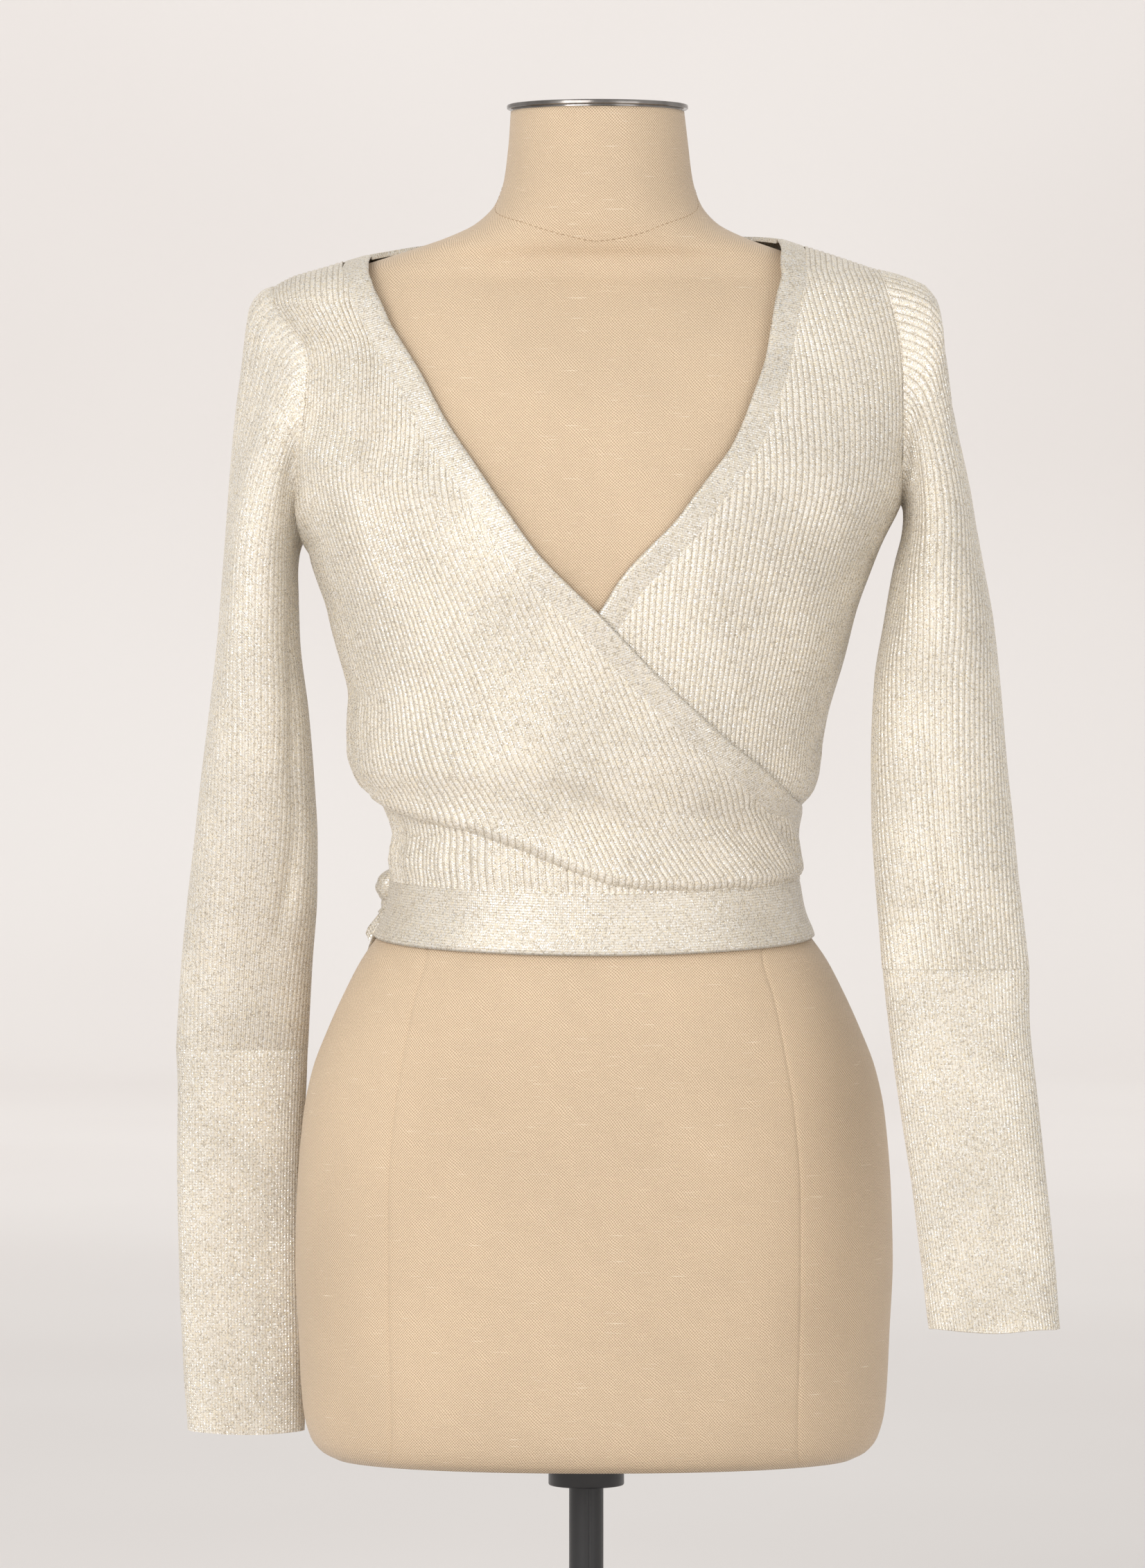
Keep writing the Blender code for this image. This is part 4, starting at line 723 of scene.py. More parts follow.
def knit_path(turns, heights, side, back):
    """One rib from the waistband to the armhole or the shoulder's ridge."""
    room = turns - armhole_turn(side, heights, back) + 1e-6
    turns, heights, ended = cut_at(turns, heights, room, heights > side.armhole.height[0])
    if not ended:
        turns, heights = shoulder_path(turns, heights, side, back)
    turns = world_turns(turns, side, back)
    start = float(band_top(0 if back else turns[8])) - SEAM_LAP
    keep = heights > start + 0.05
    foot = float(np.interp(start, heights, turns))
    return np.append(foot, turns[keep]), np.append(start, heights[keep])


def fold_levels(turn, start):
    """Row heights for a rib of the top front, close together at its fold."""
    fold = max(float(fold_height(turn)), start + 3.0)
    low = start + (fold - 1.2 - start) * np.linspace(0.15, 1, 7) ** 1.2
    near = fold + np.array([-0.5, 0.1, 0.7, 1.3, 1.9, 2.6, 3.4, 4.4, 5.6, 7.0, 8.8, 11, 13.5, 16.5, 20])
    high = fold + 20 + (424 - fold - 20) * np.linspace(0, 1, 15)[1:]
    return np.concatenate([low, near, high, np.arange(428.5, 640, 4.6), np.arange(640, 712, 2.0)])


def rib_grid(paths, folded):
    """Turns and heights for ribs side by side, with a row at each level, and each rib's last row."""
    grid, tops = [], []
    for turns, heights in paths:
        levels = fold_levels(float(np.interp(356, heights, turns)), heights[0]) if folded else LEVELS
        used = levels[(levels > heights[0]) & (levels < heights[-1] - LEVEL_MARGIN)]
        at = np.append(heights[0], used)
        last = heights > at[-1]
        end = np.stack([np.append(np.interp(at[-1], heights, turns), turns[last]),
                        np.append(at[-1], heights[last])], axis=1)
        run = run_lengths(end * np.array([GIRTH, 1]))
        near = np.array(TOP_SHARES + (1,) * (len(levels) - len(used) + 1)) * run[-1]
        across = np.append(np.interp(at, heights, turns), np.interp(near, run, end[:, 0]))
        up = np.append(at, np.interp(near, run, end[:, 1]))
        grid.append(np.stack([across, up], axis=1))
        tops.append(len(used) + 1 + len(TOP_SHARES))
    return np.array(grid).transpose(1, 0, 2), np.array(tops)


def settle(seed_turns, side):
    """Moves the column nearest to an armhole onto its edge."""
    edge = float(armhole_turn(side, MIX_HEIGHT))
    seed_turns[int(np.argmin(np.abs(seed_turns - edge)))] = edge + 1e-5
    return seed_turns


def front_paths(side):
    """The ribs of one front, from its side seam round to its free edge."""
    seam = beside(edge_route(side), side.sign * NECKBAND_WIDTH)[::-1]
    seam_heights = np.maximum.accumulate(seam[:, 1]) + 1e-6 * np.arange(len(seam))
    seam_turns = own_turn(side, seam[:, 0])
    lower = (seam_heights > BAND_TOP_SIDE + 1) & (seam_heights < SEED_HEIGHT)
    across = float(np.interp(SEED_HEIGHT, seam_heights, seam_turns))
    down = np.stack([seam_turns[lower][::-1], seam_heights[lower][::-1]], axis=1)
    route = np.concatenate([[[0.0, SEED_HEIGHT], [across, SEED_HEIGHT]], down])
    rate = lean_rate if side is RIGHT else no_lean
    seed_turns, seed_heights = seeds(route, rate)
    flows, heights = flow(settle(seed_turns, side), seed_heights, rate)
    paths = []
    for own in flows:
        turns, at = knit_path(own, heights, side, False)
        room = np.interp(at, seam_heights, seam_turns) - own_turn(side, turns)
        paths.append(cut_at(turns, at, np.where(at > seam_heights[-1], 1.0, room))[:2])
    return paths


def back_paths():
    """The ribs of the back, from the viewer's right side seam round to the left one."""
    seam = beside(back_neck_route(), NECKBAND_WIDTH)
    neck_turns, neck_heights = seam[np.argsort(seam[:, 0])].T
    route = np.array([[1.0, SEED_HEIGHT], [1.25, SEED_HEIGHT], [1.5, SEED_HEIGHT]])
    half, _ = seeds(route, no_lean)
    paths = []
    for side in (LEFT, RIGHT):
        flows, heights = flow(settle(half - 1, side), 0 * half + SEED_HEIGHT, no_lean)
        made = []
        for own in flows:
            turns, at = knit_path(own, heights, side, True)
            made.append(cut_at(turns, at, np.interp(turns, neck_turns, neck_heights) - at)[:2])
        paths += made[::-1][1:] if side is RIGHT else made
    return paths


def rib_profile(count, per_rib, rise=RIB_RISE):
    """How far each column of points stands out: broad round ribs with narrow grooves between."""
    phase = (np.arange(count) % per_rib) / per_rib
    return rise * np.sin(math.pi * phase) ** 0.6


def rib_map(length, per_rib):
    """The map of a ribbed grid: ribs across it and courses along it."""
    ribs = np.broadcast_to(np.arange(length.shape[1]) / per_rib, length.shape)
    return np.stack([ribs, length / COURSE], axis=-1)


def wrapped(block, uvs, period):
    """A block of faces' map places, with those across a round piece's seam carried on past it."""
    places = np.array(uvs[block], float)
    if period:
        across = places[..., 0]
        split = (across.max(axis=1) - across.min(axis=1)) > period / 2
        across[split] += period * (across[split] < period / 2)
    return places.reshape(-1, 2)


def volume(points, faces):
    """The signed volume inside closed faces."""
    total = 0.0
    for block in faces:
        first = points[block[:, 0]]
        for i in range(1, block.shape[1] - 1):
            total += np.sum(first * np.cross(points[block[:, i]], points[block[:, i + 1]]))
    return total / 6


def mesh_object(name, points, faces, uvs, material, period=None, rides=True):
    """Makes an object from points in millimetres and a list of arrays of faces with equal corners.

    period is the map's width round a closed ring.
    """
    mesh = bpy.data.meshes.new(name)
    points = np.asarray(points, float) * MM
    corners = np.concatenate([block.ravel() for block in faces])
    sizes = np.concatenate([np.full(len(block), block.shape[1]) for block in faces])
    starts = np.append(0, np.cumsum(sizes)[:-1])
    mesh.vertices.add(len(points))
    mesh.vertices.foreach_set("co", points.ravel())
    mesh.loops.add(len(corners))
    mesh.loops.foreach_set("vertex_index", corners.astype(np.int32))
    mesh.polygons.add(len(sizes))
    mesh.polygons.foreach_set("loop_start", starts.astype(np.int32))
    mesh.polygons.foreach_set("loop_total", sizes.astype(np.int32))
    mesh.update(calc_edges=True)
    if uvs is not None:
        layer = mesh.uv_layers.new(name="knit")
        places = np.concatenate([wrapped(block, uvs, period) for block in faces])
        layer.data.foreach_set("uv", places.astype(np.float32).ravel())
    mesh.shade_smooth()
    obj = bpy.data.objects.new(name, mesh)
    bpy.context.scene.collection.objects.link(obj)
    mesh.materials.append(material)
    if rides:
        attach(obj, "root")
    return obj


def quads(ids):
    """The faces of a grid of points."""
    return np.stack([ids[:-1, :-1], ids[:-1, 1:], ids[1:, 1:], ids[1:, :-1]], axis=-1).reshape(-1, 4)


def clean_faces(corners):
    """Splits quads with repeated corners into real quads and triangles, and drops empty ones."""
    same = corners == np.roll(corners, -1, axis=1)
    apart = (corners[:, 0] != corners[:, 2]) & (corners[:, 1] != corners[:, 3])
    whole = corners[~same.any(axis=1) & apart]
    once = same.sum(axis=1) == 1
    keep = np.ones((int(once.sum()), 4), bool)
    keep[np.arange(len(keep)), same[once].argmax(axis=1)] = False
    triangles = corners[once][keep].reshape(-1, 3)
    good = (triangles != np.roll(triangles, -1, axis=1)).all(axis=1)
    return [block for block in (whole, triangles[good]) if len(block)]


def used_only(points, faces, uvs):
    """Leaves out the points that no face uses."""
    used = np.unique(np.concatenate([block.ravel() for block in faces]))
    renumber = np.full(len(points), -1)
    renumber[used] = np.arange(len(used))
    return points[used], [renumber[block] for block in faces], uvs[used]


def raised(points):
    """Lifts points from the form's heights to the stand's."""
    return points + np.array([0.0, 0.0, STAND_HEIGHT])


def shell(name, outer, inner, uv, round_piece, material, tops=None, inner_step=1):
    """A closed cloth wall between an outer and an inner grid of points that share rows.

    The inner grid has every inner_step-th column of the outer one. tops gives the row in which
    each column of points ends.
    """
    rows, wide = outer.shape[:2]
    inner_columns = np.arange(0, wide, inner_step)
    narrow = len(inner_columns)
    inner = inner[:, inner_columns]
    tops = np.full(wide, rows - 1) if tops is None else tops
    row_index = np.arange(rows)[:, None]
    outer_id = np.minimum(row_index, tops) * wide + np.arange(wide)
    inner_id = np.minimum(row_index, tops[inner_columns]) * narrow + np.arange(narrow) + rows * wide
    if round_piece:
        outer_id = np.append(outer_id, outer_id[:, :1], axis=1)
        inner_id = np.append(inner_id, inner_id[:, :1], axis=1)
    blocks = [quads(outer_id), quads(inner_id)[:, ::-1]]
    half = (inner_step + 1) // 2
    for row, way in ((0, -1), (-1, 1)):
        for j in range(inner_id.shape[1] - 1):
            ring = outer_id[row, j * inner_step:(j + 1) * inner_step + 1]
            near, far = inner_id[row, j:j + 2]
            pivots = [near if i < half else far for i in range(inner_step)]
            rim = [(ring[i], ring[i + 1], pivot, pivot) for i, pivot in enumerate(pivots)]
            blocks.append(np.array(rim + [(ring[half], far, near, near)])[:, ::way])
    if not round_piece:
        for side, way in ((0, 1), (-1, -1)):
            corners = (outer_id[:-1, side], outer_id[1:, side], inner_id[1:, side], inner_id[:-1, side])
            blocks.append(np.stack(corners, axis=-1)[:, ::way])
    faces = clean_faces(np.concatenate(blocks))
    points = raised(np.concatenate([outer.reshape(-1, 3), inner.reshape(-1, 3)]))
    uvs = np.concatenate([uv.reshape(-1, 2), uv[:, inner_columns].reshape(-1, 2)])
    points, faces, uvs = used_only(points, faces, uvs)
    if volume(points, faces) < 0:
        faces = [block[:, ::-1] for block in faces]
    period = wide / inner_step if round_piece else None
    obj = mesh_object(name, points, faces, uvs, material, period)
    obj.data.set_sharp_from_angle(angle=math.radians(RIM_ANGLE))
    return obj


def panel(name, paths, lift, puff, folds, material, folded=False, covered=1.0):
    """One ribbed panel, its ribs raised at their real spacing over a plain inside.

    covered scales the creases that stand out, where another layer lies over the panel.
    """
    grid, tops = rib_grid(paths, folded)
    turns, heights = grid[..., 0], grid[..., 1]
    every = np.arange(len(tops))
    points, ways = cloth_point(turns, heights, lift(turns, heights), puff)
    moved = creases(turns, heights, folds, TORSO_MANNER)
    moved = np.where(moved > 0, moved * covered, moved)
    waist = ease((heights - band_top(np.clip(turns, 0, 1))) / WAIST_FADE)
    edge = ease((heights[tops, every] - heights) / UPPER_FADE)
    edge = edge * (np.arange(len(grid))[:, None] <= tops)
    side = run_lengths(points[SIDE_FADE_ROW])
    side = ease(side / SIDE_FADE) * ease((side[-1] - side) / SIDE_FADE)
    points = points + ways * (moved * waist * edge * side)[..., None]
    length = run_lengths(points)
    flatten = 0.25 + 0.75 * ease((length[tops, every] - length) / RIB_FADE)
    rise = GROOVE_WALL + rib_profile(len(tops), RIB_COLUMNS) * flatten
    return shell(name, points + ways * rise[..., None], points, rib_map(length, RIB_COLUMNS), False,
                 material, tops, RIB_COLUMNS)


def strip(name, edge_a, edge_b, lift, across, material, puff=0.0, both_round=False, lengthwise=False,
          bead=0.0):
    """A flat band between two routes over the cloth.

    Its first edge is round. Its second dips into the seam beside it unless both_round. Its knit
    lines run along it if lengthwise. bead thickens its first edge inward.
    """
    shares = np.linspace(0, 1, across)
    grid = edge_a[:, None, :] * (1 - shares)[None, :, None] + edge_b[:, None, :] * shares[None, :, None]
    turns, heights = grid[..., 0], grid[..., 1]
    points, ways = cloth_point(turns, heights, lift(turns, heights), puff)
    crown = 0.3 + 0.7 * np.clip(shares / 0.16, 0, 1) ** 0.5 - 0.25 * ease((shares - 0.88) / 0.12)
    if both_round:
        crown = 0.3 + 0.7 * np.clip(np.minimum(shares, 1 - shares) / 0.12, 0, 1) ** 0.5
    outer = points + ways * (BAND_WALL * crown)[None, :, None]
    inner = points - ways * (bead * np.exp(-(shares / 0.14) ** 2))[None, :, None]
    length = run_lengths(points)
    width = np.linalg.norm(points[:, -1] - points[:, 0], axis=1).mean()
    places = (length, np.broadcast_to(shares * width, length.shape))
    uv = np.stack(places[::-1] if lengthwise else places, axis=-1)
    return shell(name, outer, inner, uv, False, material)


def neckband(name, side, material):
    """The flat band down one front's free edge."""
    edge = edge_route(side)
    away = beside(edge, side.sign * (NECKBAND_WIDTH + NECK_SEAM_LAP))
    away[:, 1] = np.maximum(away[:, 1], BAND_TOP_SIDE - SEAM_LAP)
    picks = np.linspace(0, len(edge) - 1, 230).astype(int)
    return strip(name, edge[picks], away[picks], side.lift, 9, material, float(side is RIGHT))


def back_neckband(name, material):
    """The flat band round the back of the neck."""
    route = back_neck_route()
    low = beside(route, NECKBAND_WIDTH + NECK_SEAM_LAP)
    picks = np.linspace(0, len(route) - 1, 150).astype(int)
    return strip(name, route[picks], low[picks], no_lift, 9, material, bead=BACK_BEAD)


def waistband(name, first, last, layer, material, margin=0.0, slant=0.0):
    """A stretch of waistband between two turns."""
    turns = np.linspace(first, last, int((last - first) * 130) + 8)
    low_turns = np.where(turns < first + slant, first + slant + (turns - first) * 0.01, turns)
    low = np.stack([low_turns, band_bottom(turns) + margin], axis=1)
    top = np.stack([turns, band_top(turns) - margin], axis=1)

    def lift(turn, height):
        return no_lift(turn, height) + layer * BAND_LAYER_STEP

    return strip(name, low, top, lift, 15, material, both_round=margin > 0, lengthwise=True)


def grid_ways(points):
    """The way out at each point of a grid."""
    return unit(np.cross(np.gradient(points, axis=1), np.gradient(points, axis=0)))


def ribbon(name, stations, material):
    """A piece of tie through stations, each with half its width as a turn."""
    fine = np.linspace(0, len(stations.turn) - 1, 14 * len(stations.turn) - 13)
    turn, height, out, half_turn = [
        smooth(np.arange(len(values)), values, fine)[:, None] for values in stations]
    shares = np.linspace(-1, 1, 9)
    curl = 0.9 * (shares * shares * np.sin(fine * 1.7 + 0.6)[:, None] - 0.5)
    points, _ = cloth_point(turn + shares * half_turn, height, out + curl)
    crown = BAND_WALL * (0.35 + 0.65 * np.sqrt(1 - shares ** 2) ** 0.7)
    length = np.cumsum(np.linalg.norm(np.gradient(points, axis=0), axis=2), axis=0)
    uv = np.stack([length, np.broadcast_to(shares * 8, length.shape)], axis=-1)
    outer = points + grid_ways(points) * crown[None, :, None]
    return shell(name, outer, points, uv, False, material)


def tie_left(name, material):
    """The under front's tie, out of the slit at the wearer's right side and back to the knot."""
    turns = np.linspace(1.9995, 1.950, 34)
    low = np.stack([turns, np.linspace(299.0, 310.0, 34)], axis=1)
    top = np.stack([turns, np.linspace(323.0, 331.0, 34)], axis=1)

    def lift(turn, height):
        out = ease((turns[0] - turn) / 0.010)
        flare = TIE_LEFT_FLARE * ease((325 - height) / 25) * ease((turn - 1.962) / 0.02)
        return no_lift(turn, height) + TIE_LEFT_START + (TIE_LEFT_LIFT - TIE_LEFT_START + flare) * out

    return strip(name, low, top, lift, 9, material, both_round=True, lengthwise=True)


def tie_loop(name, material):
    """The bow's loop beside the waistband: a soft lobe of doubled-over tie, open behind."""
    side = np.linspace(-1, 1, 31)[None, :]
    rise = np.linspace(0, 1, 29)[:, None]
    bow = np.clip(np.sin(math.pi * rise), 0, 1)
    lobe = np.clip(1 - side ** 2, 0, 1) ** 0.5 * bow ** 0.55
    turn = LOOP_TURN + 0.006 * bow + side * LOOP_HALF_TURN * (0.55 + 0.45 * bow ** 0.6)
    height = LOOP_LOW + (LOOP_HIGH - LOOP_LOW) * rise + 1.2 * side * bow
    folds = 0.35 * np.sin((rise * 1.4 + side * 0.5) * 12.0) * lobe
    points, ways = cloth_point(turn, height, 0.4 + LOOP_RISE * lobe + folds)
    uv = np.stack(np.broadcast_arrays(rise * 24, side * 8), axis=-1)
    out = grid_ways(points)
    out *= np.sign(np.sum(out * ways, axis=2, keepdims=True))
    return shell(name, points + out * BAND_WALL, points, uv, False, material)


def tie_knot(name, material):
    """The knot behind the wearer's right side: a soft block of wound cloth, pinched at its waist."""
    angle = 2 * math.pi * np.arange(48) / 48
    rings = []
    for rise in np.arange(25) / 24:
        bow = math.sin(math.pi * rise)
        pinch = (1 - 0.22 * bow) * min(1.0, 0.55 + 3.2 * bow)
        wound = 0.45 * np.sin(angle * 2 + rise * 9.0) * bow
        turn = KNOT_TURN + KNOT_HALF_TURN * pinch * np.cos(angle)
        height = KNOT_LOW + KNOT_HEIGHT * rise
        rings.append(cloth_point(turn, height, 6.6 + (3.2 * pinch + wound) * np.sin(angle))[0])
    return closed_grid(name, raised(np.array(rings)), material)


def armhole_loop(side, count):
    """Points round an armhole from the armpit up the front and down the back, and the way out."""
    front = np.stack(armhole_path(side, False), axis=1)
    back = np.stack(armhole_path(side, True), axis=1)
    turns, heights = np.concatenate([front, back[::-1][1:-1]]).T
    carried = np.concatenate(cloth_point(turns, heights), axis=1)
    picked = resample(np.append(carried, carried[:1], axis=0), np.arange(count) / count)
    return picked[:, :3], unit(picked[:, 3:])


def sleeve_rings(rows, heights, sign, count):
    """A sleeve's horizontal sections at some heights, from the inner point round the front."""
    tables = [smooth(rows.height[::-1], values[::-1], heights) for values in rows[1:]]
    rings = []
    for height, outer, inner, front, back in zip(heights, *tables):
        half, deep = (outer - inner) / 2, (back - front) / 2
        x, y = ring_point(half, half, deep, deep, 0, np.linspace(0, 2, 721), SLEEVE_POWER)
        loop = np.stack([(outer + inner) / 2 + x, (front + back) / 2 + y, 0 * x + height], axis=1)
        rings.append(resample(loop, np.arange(count) / count) * np.array([sign, 1, 1]))
    return rings


def sleeve_grid(side, count, armhole):
    """Rows of points of a sleeve's inner face, from the armhole down to the cuff's seam."""
    loop, out = armhole
    around = unit(np.roll(loop, -1, axis=0) - np.roll(loop, 1, axis=0))
    away = np.cross(around, out)
    away *= np.sign(np.sum(away * (loop.mean(axis=0) - loop), axis=1, keepdims=True))
    lowness = np.cos(2 * math.pi * np.arange(count) / count)
    start = loop + away * ARMHOLE_GAP + out * (np.clip(lowness, 0, 1) ** 0.7 * 0.4)[:, None]
    high, low = side.sleeve.height[[0, -1]]
    end, below = sleeve_rings(side.sleeve, np.array([high, high - 6.0]), side.sign, count)
    reach = np.linalg.norm(end - start, axis=1, keepdims=True)
    first_way = 0.5 * away * np.array([1, 0.3, 1]) + 0.7 * np.array([side.sign, 0.0, -0.45])
    first_way = unit(first_way) * HEAD_START * reach
    last_way = HEAD_END * (below - end) / 6.0 * reach
    grid = [hermite(t, start, first_way, end, last_way) for t in np.linspace(0, 1, HEAD_ROWS)[:-1]]
    puff = np.interp([row[count // 2, 2] for row in grid], *side.puff)
    for row, amount in zip(grid, puff):
        row[:, 0] += side.sign * amount * np.clip(-lowness, 0, 1) ** 0.8
    heights = np.append(np.arange(high, low, -ROW_STEP)[:-1], low)
    return np.array(grid + sleeve_rings(side.sleeve, heights, side.sign, count))


def tube_ways(grid):
    """The way out of a tube at each point of its grid."""
    around = np.roll(grid, -1, axis=1) - np.roll(grid, 1, axis=1)
    out = unit(np.cross(around, np.gradient(grid, axis=0)))
    inward = np.sum((grid - grid.mean(axis=1, keepdims=True)) * out) < 0
    return -out if inward else out


def ribbed_tube(name, grid, per_rib, rise, material, first_ways=None):
    """A ribbed tube of cloth round a grid of points of its inner face.

    first_ways gives its first row's ways out. Without them that row is thin and tucks in above.
    """
    ways = tube_ways(grid)
    thick = GROOVE_WALL + rib_profile(grid.shape[1], per_rib, rise) + 0 * grid[..., 0]
    if first_ways is None:
        thick[0] = TUCKED_WALL
    else:
        ways[0] = first_ways
    return shell(name, grid + ways * thick[..., None], grid, rib_map(run_lengths(grid), per_rib), True,
                 material, None, per_rib)


def sleeve(name, side, material):
    """A sleeve from its armhole to its cuff."""
    count = RIB_COLUMNS * SLEEVE_RIBS
    armhole = armhole_loop(side, count)
    grid = sleeve_grid(side, count, armhole)
    moved = creases(np.arange(count) / count, grid[..., 2], side.folds, SLEEVE_MANNER)
    rank = np.arange(len(grid))[:, None]
    moved = moved * ease(rank / 8.0) * ease((len(grid) - 1 - rank) / 5.0)
    grid = grid + tube_ways(grid) * moved[..., None]
    return ribbed_tube(name, grid, RIB_COLUMNS, side.rise, material, armhole[1])


def cuff(name, side, material):
    """A long cuff in finer ribs, its hem a little wavy."""
    count = CUFF_COLUMNS * CUFF_RIBS
    high, low = side.cuff.height[[0, -1]]
    heights = np.append(high, np.linspace(high - 1.1, low, int((high - low) / ROW_STEP)))
    grid = np.array(sleeve_rings(side.cuff, heights, side.sign, count))
    share = np.arange(count) / count
    heights = heights[:, None]
    near_hem = ease((low + 34 - heights) / 34)
    wave = 0.9 * np.sin(2 * math.pi * (3 * share + 0.15)) + 0.5 * np.sin(2 * math.pi * (5 * share + 0.4))
    soft = 0.8 * np.sin(heights / 31.0 + 5 * share) * ease((high - heights) / 30)
    grid = grid + tube_ways(grid) * (near_hem * wave + soft)[..., None]
    grid[..., 2] += near_hem * 0.8 * np.sin(2 * math.pi * (2 * share + 0.3))
    return ribbed_tube(name, grid, CUFF_COLUMNS, side.cuff_rise, material)


def closed_grid(name, rings, material, uv=None, sharp=None):
    """A closed solid through rings of points, its two ends flat."""
    rows, wide = rings.shape[:2]
    ids = np.arange(rows * wide).reshape(rows, wide)
    faces = [quads(np.append(ids, ids[:, :1], axis=1)), ids[0, ::-1][None, :], ids[-1][None, :]]
    points = rings.reshape(-1, 3)
    if uv is None:
        uv = np.stack([np.broadcast_to(np.linspace(0, 40, wide), (rows, wide)), rings[..., 2]], axis=-1)
    if volume(points, faces[:1]) < 0:
        faces = [block[:, ::-1] for block in faces]
    obj = mesh_object(name, points, faces, uv.reshape(-1, 2), material)
    if sharp:
        obj.data.set_sharp_from_angle(angle=math.radians(sharp))
    return obj


def form_seams(height):
    """The turns of the form's long seams at a height, round the whole section."""
    half_width, front, back, _, _ = form_size(height)
    x = half_width * np.clip(smooth(FORM_SEAM.height, FORM_SEAM.x, height) / half_width, 0, 0.97)
    ahead, behind = [half_turn_at(x, half_width, deep) for deep in (front, back)]
    return [ahead, 1 - ahead, 1 + behind, 1.5, 2 - behind]


def form_surface(turn, height):
    """A point on the form, in millimetres over its lower edge."""
    half_width, front, back, centre_x, centre_y = form_size(height)
    x, y = ring_point(half_width, half_width, front, back, centre_y, turn)
    return np.stack([x + centre_x, y, height + 0 * x], axis=-1)


def form(material):
    """The form's torso and neck, smooth and whole, with its cover's seams as fine grooves."""
    heights = np.concatenate([[0, 1.2, 2.6, 4, 6, 9, 12], np.arange(16, 660, 4.2),
                              np.arange(660, FORM_HEIGHT, 2.2), [FORM_HEIGHT]])
    rings, places = [], []
    for height in heights:
        half_width, front, back, centre_x, centre_y = form_size(height)
        small = SEAM_OFFSETS / (1.55 * (half_width + (front + back) / 2))
        seams = form_seams(height)
        turns, depth = [], []
        for here, after, spread in zip(seams, seams[1:] + [seams[0] + 2], SEAM_SPREAD):
            between = np.linspace(here + small[-1], after + small[0], spread)[1:-1]
            turns += [here + small, between]
            depth += [SEAM_DEPTHS, 0 * between]
        turns = np.concatenate(turns)
        depth = np.concatenate(depth) * ease((SEAM_TOP - height) / SEAM_FADE)
        ring = form_surface(turns, height)
        ring[:, :2] -= unit(ring[:, :2] - np.array([centre_x, centre_y])) * depth[:, None]
        rings.append(ring)
        girth = run_lengths(np.append(ring, ring[:1], axis=0))
        from_front = girth[:-1] - np.interp(0.5, turns, girth[:-1])
        places.append(np.where(turns > 1.5, from_front - girth[-1], from_front))
    rings = np.array(rings)
    uv = np.stack([np.array(places), rings[..., 2]], axis=-1)
    return closed_grid("linen_form", raised(rings), material, uv)


def neck_stitches(material):
    """The short stitches of the seam round the base of the form's neck."""
    turns = np.linspace(0, 2, 900)
    route = form_surface(turns, smooth(*NECK_SEAM, turns))
    outward = route - np.array(NECK_MIDDLE)
    outward[:, 2] = STITCH_TILT
    carried = np.concatenate([route, outward], axis=1)
    lengths = run_lengths(route)
    corners = np.array([(-1, -1, -1), (1, -1, -1), (1, 1, -1), (-1, 1, -1),
                        (-0.8, -0.6, 1), (0.8, -0.6, 1), (0.8, 0.6, 1), (-0.8, 0.6, 1)])
    corners = corners * np.array([STITCH_LENGTH / 2, STITCH_HALF_WIDTH, STITCH_HALF_HEIGHT])
    sides = np.array([(0, 3, 2, 1), (4, 5, 6, 7), (0, 1, 5, 4), (1, 2, 6, 5), (2, 3, 7, 6), (3, 0, 4, 7)])
    points, faces = [], []
    for at in np.arange(2.0, lengths[-1] - 2.0, STITCH_STEP):
        here, after = [np.array([np.interp(place, lengths, values) for values in carried.T])
                       for place in (at, at + 0.5)]
        along = unit(after[:3] - here[:3])
        out = unit(here[3:] - along * (here[3:] @ along))
        faces.append(sides + 8 * len(points))
        points.append(here[:3] + corners @ np.stack([along, np.cross(out, along), out]))
    mesh_object("neck_seam_stitches", raised(np.concatenate(points)), [np.concatenate(faces)], None,
                material)


def turned(name, profile, place, segments, material, groove=0.0):
    """A solid of revolution from pairs of radius and height, with an optional lengthwise groove."""
    angles = 2 * math.pi * np.arange(segments) / segments
    apart = np.mod(angles - GROOVE_ANGLE + math.pi, 2 * math.pi) - math.pi
    dent = groove * np.exp(-(apart / GROOVE_HALF_ANGLE) ** 2)
    rings = [np.stack([(radius - dent) * np.cos(angles), (radius - dent) * np.sin(angles),
                       0 * angles + height], axis=1) for radius, height in profile]
    return closed_grid(name, np.array(rings) + np.array(place), material, None, 30)


def stand(metal, dark):
    """The cap on the neck, and the collar, pole and base below the form."""
    radius = CAP_RADIUS
    cap = turned("metal_neck_cap", (
        (radius - 3.4, 0), (radius - 3.4, 0.9), (radius - 0.5, 1.0), (radius, 1.4), (radius, 2.9),
        (radius - 0.25, 3.4), (radius - 0.8, 3.6), (radius - 3.0, 3.6), (radius - 3.4, 3.35), (20, 3.2)),
        CAP_PLACE, 160, metal)
    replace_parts(cap, "neck_cap")
    radius = COLLAR_RADIUS
    collar = turned("satin_pole_collar", (
        (radius - 1.4, -16), (radius - 0.4, -15.7), (radius, -15.0), (radius, -1.2), (radius - 0.3, -0.3),
        (radius - 1.0, 0)), COLLAR_PLACE, 96, dark)
    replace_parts(collar, "pole_collar")
    profile = [(POLE_RADIUS, height) for height in (0, 60, 120, 171.1)]
    pole = turned("satin_pole", profile, POLE_PLACE, 128, dark, POLE_GROOVE)
    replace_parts(pole, "pole")
    radius = BASE_RADIUS
    base = turned("satin_base", (
        (radius - 0.8, 0), (radius - 0.2, 0.25), (radius, 0.9), (radius, 9.6), (radius - 0.4, 11.0),
        (radius - 1.3, 11.8), (radius - 2.6, 12), (60, 12), (30, 12)), (0, 0, 0), 192, dark)
    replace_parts(base, "base")


